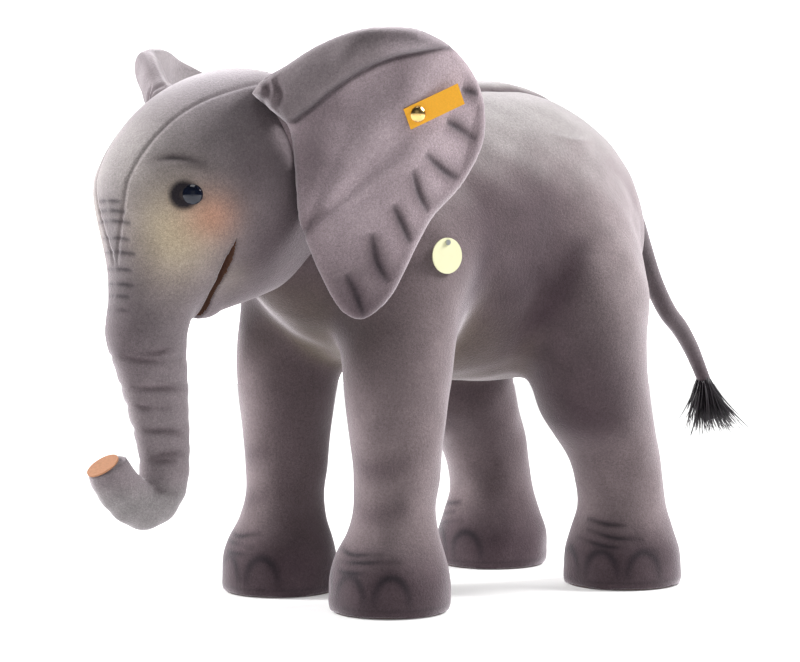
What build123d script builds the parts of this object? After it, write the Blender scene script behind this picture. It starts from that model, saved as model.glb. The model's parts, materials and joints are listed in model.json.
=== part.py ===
from build123d import *
from math import atan2, cos, pi, radians, sin, sqrt
import os

# Standing plush elephant with a wire frame, soft stuffing, flapping ears, a bending trunk and a swinging
# tail. Millimetres, +Z up. It faces -Y, its left side is +X, and the origin is on the floor at the centre
# of its bounding box.

# ---- driving dimensions ----------------------------------------------------------------------------
MID_Y = 6.3  # slides the finished animal along Y so that its box is centred on the origin

SKIN = 2.5  # plush pile and backing
GAP = 0.3  # between neighbouring pieces
SNUG = 0.15  # between a hard piece and the stuffing round it
SWEEP_STEPS = 6  # turns of a joint that its neighbour is cut clear of

TORSO_Z = 282.0
TORSO_R = 118.0
TORSO_SLIM = 0.9  # width as a share of height
TORSO_PEAK_Y = 40.0
TORSO_FRONT = 240.0
TORSO_REAR = 146.0

RIDGE_RISE = 6.0
RIDGE_HALF_WIDTH = 25.0
RIDGE_FRONT_Y = -176.0
RIDGE_REAR_Y = 150.0

HEAD_CENTRE = Vector(0, -228, 322)
HEAD_RADII = (74.0, 92.0, 84.0)
FACE_GUSSET_LOW = 17.0  # half width at eye height
FACE_GUSSET_TOP = 40.0  # half width at the crown
FACE_GUSSET_LOW_Z = 300.0
FACE_GUSSET_TOP_Z = 396.0

JAW_BACK = Vector(0, -190, 285)
JAW_BACK_R = 48.0
JAW_TIP = Vector(0, -240, 238)
JAW_TIP_R = 16.0
LINING = 1.0

TRUNK_BASE = Vector(0, -270, 300)
TRUNK_BASE_R = 46.0
TRUNK_ROOT = Vector(0, -291, 212)  # bending centre at the top of the trunk
TRUNK_ROOT_R = 27.0
TRUNK_WRIST = Vector(0, -275, 118)  # bending centre at the curl
TRUNK_WRIST_R = 17.7
TRUNK_RIM = 13.0  # below the bending centre, so that the bending trunk clears its root
TRUNK_RIM_R = 25.4
TRUNK_WAIST = 48.0
TRUNK_WAIST_R = 21.5
TRUNK_SWING = (-20.0, 12.0)  # forward and back from rest
CURL_RIM = 9.0
CURL_DROP = 5.5  # straight run below the rim
CURL_R = 18.5
CURL_LIP_R = 24.0
CURL_LIP_ANGLE = 56.0
CURL_END = 26.0
CURL_RINGS = 10
TRUNK_TIP_R = 14.5
NOSTRIL = 1.2  # thickness of the suede patch
NOSTRIL_MARGIN = 2.0

EYE_ON_HEAD = (48.7, -7.5)  # azimuth from straight ahead, elevation, in degrees of the head's ellipsoid
EYE_BALL_R = 9.0
EYE_RISE = 6.0
EYE_SINK = 1.0
EYE_SHANK_R = 1.6
EYE_SHANK = 12.0
EYE_WASHER_R = 7.0
EYE_WASHER = 1.4

EAR_HINGE_TOP = Vector(57.7, -228.2, 390)
EAR_HINGE_LOW = Vector(84.3, -202.8, 275)
EAR_ROLL_R = 6.0
EAR_ROLL_SPARE = 60.0
EAR_SWING = (-10.0, 35.0)  # against the neck and out from it
ROLL_MARGIN = 4.0
EAR_WEB = 40.0
EAR_THICK = 11.0
EAR_CLOTH = 1.8
EAR_LOW_Z = 200.0
EAR_TOP_Z = 436.0
EAR_SEARCH_STEPS = 40
EAR_FACING = 50.0  # azimuth that the open ear faces, degrees from straight ahead
EAR_PLAN_STEPS = 6
EAR_PLAN_LOW = [(78, -202), (98, -188), (105, -172), (108, -155), (108, -125)]
EAR_PLAN_TOP = [(50, -239), (99, -217), (137, -193), (159, -158), (160, -92)]
EAR_OUTLINE = [
    (-137, 394), (-104, 413), (-67, 427), (-32, 429), (0, 415), (20, 385), (22, 350),
    (5, 318), (-17, 292), (-42, 243), (-66, 220.5), (-87, 236), (-104, 273),
]

BUTTON_AT = (-28.5, 369.5)  # across the ear, height
BUTTON_R = 6.0
BUTTON_RISE = 3.2
RIVET_R = 1.5
RIVET_WASHER_R = 5.0
RIVET_WASHER = 0.8
FLAG_SIZE = (44.5, 16.0)
FLAG_THICK = 0.8
FLAG_RIVET_INSET = 9.0
FLAG_TILT = 25.5
FLAG_STAND = 0.6

FRONT_FOOT = (68.0, -118.0)
FRONT_FOOT_R = 44.5
FRONT_LEG = [  # height, radius, across, along
    (24, FRONT_FOOT_R, *FRONT_FOOT), (40, 42, 68, -117), (57, 35.5, 68, -115), (76, 30.5, 68, -113),
    (100, 32.5, 68, -111), (130, 35.5, 68, -111), (170, 41, 67, -109), (220, 46, 63, -102),
    (265, 52, 56, -93), (300, 47, 46, -90), (330, 30, 36, -88),
]
REAR_FOOT = (78.5, 118.0)
REAR_FOOT_R = 46.0
REAR_LEG = [
    (24, REAR_FOOT_R, *REAR_FOOT), (42, 42, *REAR_FOOT), (62, 36, *REAR_FOOT), (84, 35, 78.5, 114),
    (108, 37.5, 78.5, 107), (135, 44, 79, 92), (165, 46, 80, 82), (195, 49, 80, 76),
    (240, 57, 73, 72), (285, 54, 62, 68), (325, 40, 52, 62), (345, 24, 46, 60),
]
SOLE_HIGH = 7.0
SOLE_CLOTH = 2.0
SOLE_ROUND = 4.0
SOLE_BOARD = 3.0
SOLE_WALL = 2.5

SPINE_R = 5.0
SPINE_Z = 304.0
SPINE_REAR_Y = 120.0
NECK_Y = -150.0
NECK_END = Vector(0, -218, 338)
NECK_BEND = 40.0
LEG_ROD_R = 3.5
LEG_ROD_BEND = 30.0
FRONT_ROD_Y = -114.0
KNEE_Z = 110.0
FRONT_ROD_TOP_X = 46.0
REAR_ROD_TOP = (46.0, 66.0)
FLANGE_R = 16.0
FLANGE = 2.0
CLAMP_SIZE = (26.0, 22.0, 12.0)
SCREW_R = 2.0
SCREW_HEAD_R = 3.6
SCREW_HEAD = 2.2
SCREW_CIRCLE_R = 10.5
SCREW_TURNS = (45, 135, 225, 315)
SCREW_INSET = 4.5

TAIL_ROOT = Vector(0, TORSO_PEAK_Y + TORSO_REAR + 13, TORSO_Z + 18)
TAIL_R = 8.2
TAIL_STUB = 30.0
TAIL_RIM = 4.5
TAIL_PATH = [(18, 0), (47, -75), (82, -112), (99, -144)]  # along and up from the root
TAIL_BENDS = [16, 60, 60]
TUFT_LONG = 42.0
TUFT_R = 19.0
TUFT_TIP_R = 9.0
TUFT_FULLEST = 0.45

TAG_Z = 267.0
TAG_R = 13.3
TAG_THICK = 1.0
TAG_STAND = 2.5
TAG_TURN = 85.0  # azimuth that the tag faces
TAG_PIN_R = 0.9
TAG_PIN_HEAD_R = 2.0
TAG_PIN_HEAD = 1.0
TAG_PIN_INSET = 3.5
TAG_PIN_LONG = 16.0

FAR = 800.0
SIDES = {"left": 1, "right": -1}
nodes = {}


# ---- forms -----------------------------------------------------------------------------------------
def round_cone(start, end, start_r, end_r):
    """Two balls and the cone that touches both."""
    length = (end - start).length
    lean = (start_r - end_r) / length
    flat = sqrt(1 - lean * lean)
    low = (start_r * flat, start_r * lean)
    high = (end_r * flat, length + end_r * lean)
    low_angle = atan2(low[1], low[0])
    high_angle = atan2(high[1] - length, high[0])
    low_mid = (low_angle - pi / 2) / 2
    high_mid = (high_angle + pi / 2) / 2
    outline = [
        ThreePointArc((0, -start_r), (start_r * cos(low_mid), start_r * sin(low_mid)), low),
        Line(low, high),
        ThreePointArc(high, (end_r * cos(high_mid), length + end_r * sin(high_mid)), (0, length + end_r)),
        Line((0, length + end_r), (0, -start_r)),
    ]
    face = Plane.XZ * make_face(outline)
    return Plane(origin=start, z_dir=end - start) * revolve(face, Axis.Z)


def torso_form(grow=0.0):
    """Egg lying along Y, blunt at the rump and long at the chest."""
    rise = TORSO_R + grow
    front = TORSO_FRONT + grow
    rear = TORSO_REAR + grow
    hub = (TORSO_PEAK_Y, TORSO_Z)
    outline = [
        EllipticalCenterArc(hub, rear, rise, 0, arc_size=90),
        EllipticalCenterArc(hub, front, rise, 90, arc_size=90),
        Line((TORSO_PEAK_Y - front, TORSO_Z), (TORSO_PEAK_Y + rear, TORSO_Z)),
    ]
    egg = revolve(Plane.YZ * make_face(outline), Axis((0, 0, TORSO_Z), (0, 1, 0)))
    return scale(egg, by=(TORSO_SLIM, 1, 1))


def head_form(grow=0.0):
    ball = scale(Sphere(1), by=tuple(radius + grow for radius in HEAD_RADII))
    return Pos(*HEAD_CENTRE) * ball


def trunk_base_form(grow=0.0):
    return round_cone(TRUNK_BASE, TRUNK_ROOT, TRUNK_BASE_R + grow, TRUNK_ROOT_R + grow)


def jaw_form(grow=0.0):
    return round_cone(JAW_BACK, JAW_TIP, JAW_BACK_R + grow, JAW_TIP_R + grow)


def ball(centre, radius):
    return Pos(*centre) * Sphere(radius)


def rod(start, end, radius):
    centre = (start + end) * 0.5
    return Plane(origin=centre, z_dir=end - start) * Cylinder(radius, (end - start).length)


def swept(points, bends, radius):
    """Round bar along straight runs that tangent arcs join."""
    path = FilletPolyline(*points, radius=bends)
    section = Plane(origin=path @ 0, z_dir=path % 0) * Circle(radius)
    return sweep(section, path=path)


def leg_form(stations, side, shrink=0.0, low=None):
    """Skin through round sections. The lowest section drops straight to the height given."""
    first = stations[0]
    rings = [(low, first[1], first[2], first[3])] + list(stations)
    sections = [Pos(side * x, y, z) * Circle(r - shrink) for z, r, x, y in rings]
    return loft(sections)


def cut_clear(shape, obstacle, axis, swing):
    """The shape less every place where the obstacle would meet it through its swing, slivers left out."""
    low, high = swing
    for step in range(SWEEP_STEPS + 1):
        shape = shape - obstacle.rotate(axis, -(low + (high - low) * step / SWEEP_STEPS))
    return max(shape.solids(), key=lambda solid: solid.volume)


def half(side):
    """The half space on one side of the middle plane."""
    return Pos(side * FAR / 2, 0, 0) * Box(FAR, FAR * 2, FAR * 2)


def keep(name, shape):
    nodes[name] = shape


# ---- wire frame ------------------------------------------------------------------------------------
SOLE_TOP = SOLE_CLOTH + SOLE_BOARD
HOOP_Z = SPINE_Z - SPINE_R - LEG_ROD_R
FEET = {"front": (FRONT_FOOT, FRONT_FOOT_R, FRONT_LEG), "rear": (REAR_FOOT, REAR_FOOT_R, REAR_LEG)}
HOOP_FOOT_Y = {"front": FRONT_ROD_Y, "rear": REAR_FOOT[1]}
HOOP_TOP = {"front": (FRONT_ROD_TOP_X, FRONT_ROD_Y), "rear": REAR_ROD_TOP}


def spine_form(grow=0.0):
    points = [(0, SPINE_REAR_Y, SPINE_Z), (0, NECK_Y, SPINE_Z), tuple(NECK_END)]
    return swept(points, [NECK_BEND], SPINE_R + grow)


def hoop_form(pair, grow=0.0):
    """Inverted U from sole to sole, with a round flange on each sole board."""
    foot_x = FEET[pair][0][0]
    foot_y = HOOP_FOOT_Y[pair]
    top_x, top_y = HOOP_TOP[pair]
    left = [(top_x, top_y, HOOP_Z), (foot_x, foot_y, KNEE_Z), (foot_x, foot_y, SOLE_TOP)]
    right = [(-x, y, z) for x, y, z in reversed(left)]
    hoop = swept(right + left, [LEG_ROD_BEND] * 4, LEG_ROD_R + grow)
    for side in SIDES.values():
        flange = Pos(side * foot_x, foot_y, SOLE_TOP + FLANGE / 2)
        hoop += flange * Cylinder(FLANGE_R + grow, FLANGE + 2 * grow)
    return hoop


def clamp_form(pair, grow=0.0):
    wide, deep, high = (size + 2 * grow for size in CLAMP_SIZE)
    return Pos(0, HOOP_TOP[pair][1], (SPINE_Z + HOOP_Z) / 2) * Box(wide, deep, high)


def clamp_bolts(pair, grow=0.0):
    wide, deep, high = CLAMP_SIZE
    top = (SPINE_Z + HOOP_Z + high) / 2
    bolts = []
    for side in SIDES.values():
        for end in (-1, 1):
            x = side * (wide / 2 - SCREW_INSET)
            y = HOOP_TOP[pair][1] + end * (deep / 2 - SCREW_INSET)
            shank = Pos(x, y, top - high / 2) * Cylinder(SCREW_R + grow, high)
            head = Pos(x, y, top + SCREW_HEAD / 2) * Cylinder(SCREW_HEAD_R + grow, SCREW_HEAD + 2 * grow)
            bolts.append(shank + head)
    return bolts


def sole_screws(pair, grow=0.0):
    foot_x = FEET[pair][0][0]
    top = SOLE_TOP + FLANGE
    long = FLANGE + SOLE_BOARD
    screws = []
    for side in SIDES.values():
        for turn in SCREW_TURNS:
            x = side * foot_x + SCREW_CIRCLE_R * cos(radians(turn))
            y = HOOP_FOOT_Y[pair] + SCREW_CIRCLE_R * sin(radians(turn))
            shank = Pos(x, y, top - long / 2) * Cylinder(SCREW_R + grow, long)
            head = Pos(x, y, top + SCREW_HEAD / 2) * Cylinder(SCREW_HEAD_R + grow, SCREW_HEAD + 2 * grow)
            screws.append(shank + head)
    return screws


spine = spine_form()
spine_room = spine_form(SNUG)
hoops = {pair: hoop_form(pair) for pair in FEET}
hoop_rooms = {pair: hoop_form(pair, SNUG) for pair in FEET}
clamps = []
screws = []
screw_rooms = {}
for pair in FEET:
    bolts = clamp_bolts(pair)
    block = clamp_form(pair) - spine_room - hoop_rooms[pair]
    for bolt in clamp_bolts(pair, SNUG):
        block -= bolt
    clamps.append(block)
    screws += bolts + sole_screws(pair)
    screw_rooms[pair] = sole_screws(pair, SNUG)
    hoop = hoops[pair]
    for screw in screw_rooms[pair]:
        hoop -= screw
    keep(f"{pair}_leg_frame", hoop)
keep("spine_rod", spine)
keep("frame_clamps", Compound(clamps))
keep("frame_screws", Compound(screws))


# ---- torso -----------------------------------------------------------------------------------------
torso_out = torso_form()
torso_in = torso_form(-SKIN)
torso_room = torso_form(GAP)
head_room = head_form(GAP)
tail_stub = ball(TAIL_ROOT, TAIL_R)
tail_inlet = rod(TAIL_ROOT - Vector(0, TAIL_STUB, 0), TAIL_ROOT, TAIL_R)

torso_skin = torso_out - torso_in - head_room
torso_fill = torso_form(-SKIN - SNUG) - spine_room
for pair in FEET:
    torso_skin -= hoop_rooms[pair]
    torso_fill -= hoop_rooms[pair]
    torso_fill -= clamp_form(pair, SNUG)
    for bolt in clamp_bolts(pair, SNUG):
        torso_fill -= bolt
torso_fill -= head_form(GAP)
for name, side in SIDES.items():
    keep(f"torso_skin_{name}", torso_skin & half(side))
keep("torso_stuffing", torso_fill)

ridge_mid = (RIDGE_FRONT_Y + RIDGE_REAR_Y) / 2
lens = make_face(
    [
        ThreePointArc((0, RIDGE_FRONT_Y), (RIDGE_HALF_WIDTH, ridge_mid), (0, RIDGE_REAR_Y)),
        ThreePointArc((0, RIDGE_REAR_Y), (-RIDGE_HALF_WIDTH, ridge_mid), (0, RIDGE_FRONT_Y)),
    ]
)
ridge = extrude(Pos(0, 0, TORSO_Z) * lens, TORSO_R + RIDGE_RISE + GAP) & torso_form(RIDGE_RISE)
keep("back_gusset", ridge - torso_room - head_room)


# ---- legs and soles --------------------------------------------------------------------------------
for pair, (foot, foot_r, stations) in FEET.items():
    for name, side in SIDES.items():
        outer = leg_form(stations, side, 0, SOLE_HIGH) - torso_room
        inner = leg_form(stations, side, SKIN, SOLE_TOP)
        fill = leg_form(stations, side, SKIN + SNUG, SOLE_TOP) - torso_room - hoop_rooms[pair]
        for screw in screw_rooms[pair]:
            fill -= screw
        keep(f"{pair}_leg_skin_{name}", outer - inner)
        keep(f"{pair}_leg_stuffing_{name}", fill)
        centre = Pos(side * foot[0], foot[1], 0)
        cup = centre * Pos(0, 0, SOLE_HIGH / 2) * Cylinder(foot_r, SOLE_HIGH)
        cup = fillet(cup.edges().group_by(Axis.Z)[0], SOLE_ROUND)
        hollow = SOLE_HIGH - SOLE_CLOTH
        cup -= centre * Pos(0, 0, SOLE_CLOTH + hollow / 2) * Cylinder(foot_r - SOLE_WALL, hollow)
        board_r = foot_r - SOLE_WALL - SNUG
        board = centre * Pos(0, 0, SOLE_CLOTH + SOLE_BOARD / 2) * Cylinder(board_r, SOLE_BOARD)
        for screw in screw_rooms[pair]:
            board -= screw
        keep(f"{pair}_sole_pad_{name}", cup)
        keep(f"{pair}_sole_board_{name}", board)


# ---- head, jaw and mouth ---------------------------------------------------------------------------
def eye_plane(side):
    """Plane on the head with its normal pointing out through the middle of the eye."""
    azimuth, elevation = (radians(angle) for angle in EYE_ON_HEAD)
    ray = (sin(azimuth) * cos(elevation), -cos(azimuth) * cos(elevation), sin(elevation))
    spot = Vector(*(part * radius for part, radius in zip(ray, HEAD_RADII)))
    normal = Vector(*(part / radius for part, radius in zip(ray, HEAD_RADII)))
    spot += HEAD_CENTRE
    return Plane(origin=(side * spot.X, spot.Y, spot.Z), z_dir=(side * normal.X, normal.Y, normal.Z))


def eye_form(side, grow=0.0):
    base = eye_plane(side).offset(-EYE_SINK)
    centre = EYE_RISE - EYE_BALL_R
    cap = Pos(0, 0, centre) * Sphere(EYE_BALL_R + grow)
    cap &= Pos(0, 0, FAR / 2 - grow) * Box(FAR, FAR, FAR)
    shank = Pos(0, 0, -EYE_SHANK / 2) * Cylinder(EYE_SHANK_R + grow, EYE_SHANK + 2 * grow)
    return base * (cap + shank)


def eye_washer_form(side, grow=0.0):
    deep = EYE_SINK + SKIN + SNUG
    seat = eye_plane(side).offset(-deep - EYE_WASHER / 2)
    return seat * Cylinder(EYE_WASHER_R + grow, EYE_WASHER + 2 * grow)


head_skin = head_form() - head_form(-SKIN) - torso_form(-SKIN)
head_fill = head_form(-SKIN - SNUG) - torso_room - spine_room
trunk_base_out = trunk_base_form() - head_room
for side in SIDES.values():
    head_skin -= eye_form(side, SNUG)
    head_fill -= eye_form(side, SNUG)
    head_fill -= eye_washer_form(side, SNUG)
gusset_outline = Polyline(
    (FACE_GUSSET_LOW, FACE_GUSSET_LOW_Z - FAR),
    (FACE_GUSSET_LOW, FACE_GUSSET_LOW_Z),
    (FACE_GUSSET_TOP, FACE_GUSSET_TOP_Z),
    (FACE_GUSSET_TOP, FACE_GUSSET_TOP_Z + FAR),
    (-FACE_GUSSET_TOP, FACE_GUSSET_TOP_Z + FAR),
    (-FACE_GUSSET_TOP, FACE_GUSSET_TOP_Z),
    (-FACE_GUSSET_LOW, FACE_GUSSET_LOW_Z),
    (-FACE_GUSSET_LOW, FACE_GUSSET_LOW_Z - FAR),
    close=True,
)
gusset_zone = extrude(Plane.XZ * make_face(gusset_outline), FAR, both=True)
keep("head_gusset", head_skin & gusset_zone)
cheeks = head_skin - gusset_zone
for name, side in SIDES.items():
    keep(f"head_skin_{name}", cheeks & half(side))
    eye = eye_form(side)
    keep(f"eye_{name}", eye)
    keep(f"eye_washer_{name}", eye_washer_form(side) - eye_form(side, SNUG))
keep("head_stuffing", head_fill)

base_fill = trunk_base_form(-SKIN) - head_room
keep("trunk_base_skin", trunk_base_out - trunk_base_form(-SKIN + SNUG))
keep("trunk_base_stuffing", base_fill)

jaw = jaw_form() - head_room - torso_room
keep("lower_lip", jaw - trunk_base_form(2 * GAP + LINING))
keep("mouth_lining", (trunk_base_form(GAP + LINING) - trunk_base_form(GAP)) & jaw)


# ---- trunk -----------------------------------------------------------------------------------------
def trunk_form(shrink=0.0):
    """Tapered tube between its two bending centres, hollowed at the top for the ball of the root."""
    long = (TRUNK_WRIST - TRUNK_ROOT).length
    side = Spline(
        (TRUNK_RIM_R - shrink, TRUNK_RIM),
        (TRUNK_WAIST_R - shrink, TRUNK_WAIST),
        (TRUNK_WRIST_R - shrink, long),
    )
    outline = [
        side,
        Line(side @ 1, (0, long)),
        Line((0, long), (0, TRUNK_RIM)),
        Line((0, TRUNK_RIM), side @ 0),
    ]
    tube = revolve(Plane.XZ * make_face(outline), Axis.Z)
    return Plane(origin=TRUNK_ROOT, z_dir=TRUNK_WRIST - TRUNK_ROOT) * tube


def curl_path():
    """Drops from the bending centre, turns forward and lifts its lip."""
    start = Vector(TRUNK_WRIST.Y, TRUNK_WRIST.Z - CURL_RIM)
    drop = Line(start, start - Vector(0, CURL_DROP))
    turn = JernArc(drop @ 1, drop % 1, CURL_R, -90)
    lip = JernArc(turn @ 1, turn % 1, CURL_LIP_R, -CURL_LIP_ANGLE)
    end = Line(lip @ 1, (lip @ 1) + (lip % 1) * CURL_END)
    return (Plane.YZ * (drop + turn + lip + end)).wire()


curl = curl_path()


def curl_form(shrink=0.0):
    rings = []
    for index in range(CURL_RINGS + 1):
        share = index / CURL_RINGS
        radius = TRUNK_WRIST_R + (TRUNK_TIP_R - TRUNK_WRIST_R) * share - shrink
        rings.append(Plane(origin=curl @ share, z_dir=curl % share, x_dir=(1, 0, 0)) * Circle(radius))
    return loft(rings)


root_room = ball(TRUNK_ROOT, TRUNK_ROOT_R + GAP)
wrist_ball = ball(TRUNK_WRIST, TRUNK_WRIST_R)
wrist_room = ball(TRUNK_WRIST, TRUNK_WRIST_R + GAP)
trunk_out = trunk_form() + wrist_ball - root_room
trunk_in = trunk_form(SKIN) + ball(TRUNK_WRIST, TRUNK_WRIST_R - SKIN) - root_room
trunk_fill = trunk_form(SKIN + SNUG) + ball(TRUNK_WRIST, TRUNK_WRIST_R - SKIN - SNUG) - root_room
trunk_axis = Axis(TRUNK_ROOT, (1, 0, 0))
base_room = trunk_base_form(2 * GAP)
keep("trunk_skin", cut_clear(trunk_out, base_room, trunk_axis, TRUNK_SWING) - trunk_in)
keep("trunk_stuffing", cut_clear(trunk_fill, base_room, trunk_axis, TRUNK_SWING))

keep("trunk_tip_skin", curl_form() - curl_form(SKIN) - wrist_room)
keep("trunk_tip_stuffing", curl_form(SKIN + SNUG) - wrist_room)
tip_plane = Plane(origin=curl @ 1, z_dir=curl % 1)
keep("nostril_patch", tip_plane * Pos(0, 0, NOSTRIL / 2) * Cylinder(TRUNK_TIP_R - NOSTRIL_MARGIN, NOSTRIL))


# ---- ears ------------------------------------------------------------------------------------------
hinge_long = (EAR_HINGE_LOW - EAR_HINGE_TOP).length
hinge_way = (EAR_HINGE_LOW - EAR_HINGE_TOP).normalized()
facing = radians(EAR_FACING)
ear_across = Vector(cos(facing), sin(facing), 0)
ear_view = Plane(origin=(0, 0, 0), x_dir=ear_across, z_dir=(sin(facing), -cos(facing), 0))


def hinge_point(run):
    return EAR_HINGE_TOP + hinge_way * run


def ear_level(points, height, back, front):
    """Strip of the ear in plan, between two distances from its middle surface."""
    middle = Spline(*points)
    rims = []
    for reach in (front, back):
        rim = []
        for index in range(EAR_PLAN_STEPS + 1):
            spot = middle @ (index / EAR_PLAN_STEPS)
            run = middle % (index / EAR_PLAN_STEPS)
            rim.append((spot.X + run.Y * reach, spot.Y - run.X * reach))
        rims.append(Spline(*rim))
    ends = [Line(rims[0] @ 1, rims[1] @ 1), Line(rims[1] @ 0, rims[0] @ 0)]
    return Pos(0, 0, height) * make_face([rims[0], ends[0], rims[1], ends[1]])


def ear_form(back, front):
    """Curved flap of the left ear between two distances from its middle surface."""
    low = ear_level(EAR_PLAN_LOW, EAR_LOW_Z, back, front)
    top = ear_level(EAR_PLAN_TOP, EAR_TOP_Z, back, front)
    rim = Spline(*EAR_OUTLINE)
    outline = ear_view * make_face([rim, Line(rim @ 1, rim @ 0)])
    roll_room = rod(hinge_point(-EAR_ROLL_SPARE), hinge_point(hinge_long + EAR_ROLL_SPARE), EAR_ROLL_R + GAP)
    return (loft([low, top], ruled=True) & extrude(outline, FAR / 2)) - roll_room


def ear_spot(across, height, reach):
    """Plane on the left ear at a distance from its middle surface, its normal pointing forward."""
    share = (height - EAR_LOW_Z) / (EAR_TOP_Z - EAR_LOW_Z)
    low = Spline(*EAR_PLAN_LOW)
    top = Spline(*EAR_PLAN_TOP)
    start, end = 0.0, 1.0
    for _ in range(EAR_SEARCH_STEPS):
        middle = (start + end) / 2
        spot = (low @ middle) * (1 - share) + (top @ middle) * share
        if spot.dot(ear_across) < across:
            start = middle
        else:
            end = middle
    along = (low % middle) * (1 - share) + (top % middle) * share
    rise = (top @ middle) - (low @ middle) + Vector(0, 0, EAR_TOP_Z - EAR_LOW_Z)
    normal = along.cross(rise).normalized()
    centre = Vector(spot.X, spot.Y, height) + normal * reach
    level = Vector(-normal.Y, normal.X, 0).normalized()
    return Plane(origin=centre, x_dir=level, z_dir=normal)


roll_start = hinge_point(ROLL_MARGIN)
roll_end = hinge_point(hinge_long - ROLL_MARGIN)
roll_mid = (roll_start + roll_end) * 0.5
inward = (HEAD_CENTRE - roll_mid) - hinge_way * (HEAD_CENTRE - roll_mid).dot(hinge_way)
web_plane = Plane(origin=roll_mid, x_dir=inward, z_dir=hinge_way)


def web_form(grow=0.0):
    """Strip of cloth from the rolled root into the head."""
    return web_plane * Pos(EAR_WEB / 2, 0, 0) * Box(
        EAR_WEB + 2 * grow, 2 * (EAR_ROLL_R + grow), (roll_end - roll_start).length + 2 * grow
    )


def clear_of_head(panel):
    axis = Axis(EAR_HINGE_TOP, hinge_way)
    for obstacle in (head_form(2 * GAP), web_form(GAP)):
        panel = cut_clear(panel, obstacle, axis, EAR_SWING)
    return panel


half_ear = EAR_THICK / 2
front_panel = clear_of_head(ear_form(half_ear - EAR_CLOTH, half_ear))
ear_pad = clear_of_head(ear_form(EAR_CLOTH + SNUG - half_ear, half_ear - EAR_CLOTH - SNUG))
back_panel = clear_of_head(ear_form(-half_ear, EAR_CLOTH - half_ear))
rivet = ear_spot(*BUTTON_AT, 0)
flag_seat = half_ear + FLAG_STAND
cap_seat = flag_seat + FLAG_THICK + GAP
washer_seat = -half_ear - RIVET_WASHER - GAP
rivet_room = rivet * Cylinder(RIVET_R + SNUG, 4 * EAR_THICK)
for name, side in SIDES.items():
    for piece, panel in (("front", front_panel), ("pad", ear_pad), ("back", back_panel)):
        if side > 0:
            keep(f"ear_{piece}_{name}", panel - rivet_room)
        else:
            keep(f"ear_{piece}_{name}", mirror(panel, Plane.YZ))

dome_r = (BUTTON_R**2 + BUTTON_RISE**2) / (2 * BUTTON_RISE)
dome = Pos(0, 0, cap_seat + BUTTON_RISE - dome_r) * Sphere(dome_r)
dome &= Pos(0, 0, cap_seat + FAR / 2) * Box(FAR, FAR, FAR)
shank_long = cap_seat - washer_seat
shank = Pos(0, 0, (cap_seat + washer_seat) / 2) * Cylinder(RIVET_R, shank_long)
keep("ear_button", rivet * (dome + shank))
washer = Pos(0, 0, washer_seat + RIVET_WASHER / 2) * Cylinder(RIVET_WASHER_R, RIVET_WASHER)
washer -= Cylinder(RIVET_R + SNUG, 4 * EAR_THICK)
keep("ear_button_washer", rivet * washer)

flag_long, flag_high = FLAG_SIZE
flag = Box(flag_long, flag_high, FLAG_THICK)
flag = Pos(flag_long / 2 - FLAG_RIVET_INSET, 0, flag_seat + FLAG_THICK / 2) * flag
flag = Rot(0, 0, FLAG_TILT) * flag - Cylinder(RIVET_R + GAP, 4 * EAR_THICK)
keep("flag_label", rivet * flag)

ear_root = rod(roll_start, roll_end, EAR_ROLL_R) + web_form() - head_room
keep("ear_root_left", ear_root)
keep("ear_root_right", mirror(ear_root, Plane.YZ))


# ---- tail ------------------------------------------------------------------------------------------
tail_points = [TAIL_ROOT + Vector(0, y, z) for y, z in [(TAIL_RIM, 0)] + TAIL_PATH]
tail_room = ball(TAIL_ROOT, TAIL_R + GAP)
keep("tail_root", tail_stub + tail_inlet - torso_room)
tail_out = swept(tail_points, TAIL_BENDS, TAIL_R)
keep("tail_skin", tail_out - swept(tail_points, TAIL_BENDS, TAIL_R - SKIN) - tail_room)
keep("tail_stuffing", swept(tail_points, TAIL_BENDS, TAIL_R - SKIN - SNUG) - tail_room)
tuft_side = Spline((TAIL_R, 0), (TUFT_R, TUFT_LONG * TUFT_FULLEST), (TUFT_TIP_R, TUFT_LONG))
tuft_outline = [
    tuft_side,
    Line(tuft_side @ 1, (0, TUFT_LONG)),
    Line((0, TUFT_LONG), (0, 0)),
    Line((0, 0), tuft_side @ 0),
]
tuft_way = tail_points[-1] - tail_points[-2]
tuft = revolve(Plane.XZ * make_face(tuft_outline), Axis.Z)
keep("tail_tuft", Plane(origin=tail_points[-1], z_dir=tuft_way) * tuft)


# ---- chest tag -------------------------------------------------------------------------------------
_, shoulder_r, shoulder_x, shoulder_y = min(FRONT_LEG, key=lambda ring: abs(ring[0] - TAG_Z))
tag_facing = radians(TAG_TURN)
tag_out = Vector(sin(tag_facing), -cos(tag_facing), 0)
tag_centre = Vector(shoulder_x, shoulder_y, TAG_Z) + tag_out * (shoulder_r + TAG_STAND)
tag_plane = Plane(origin=tag_centre, x_dir=(cos(tag_facing), sin(tag_facing), 0), z_dir=tag_out)
pin_spot = Pos(0, TAG_R - TAG_PIN_INSET, 0)
tag = Cylinder(TAG_R, TAG_THICK) - pin_spot * Cylinder(TAG_PIN_R + GAP, 4 * TAG_THICK)
keep("chest_tag", tag_plane * tag)
pin_low = -TAG_PIN_LONG
pin_top = TAG_THICK / 2 + GAP + TAG_PIN_HEAD
pin = Pos(0, 0, (pin_low + pin_top) / 2) * Cylinder(TAG_PIN_R, pin_top - pin_low)
pin += Pos(0, 0, pin_top - TAG_PIN_HEAD / 2) * Cylinder(TAG_PIN_HEAD_R, TAG_PIN_HEAD)
keep("tag_pin", tag_plane * pin_spot * pin)
pin_room = tag_plane * pin_spot * Cylinder(TAG_PIN_R + SNUG, 4 * TAG_PIN_LONG)
for part_of_leg in ("front_leg_skin_left", "front_leg_stuffing_left"):
    nodes[part_of_leg] -= pin_room


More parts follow.
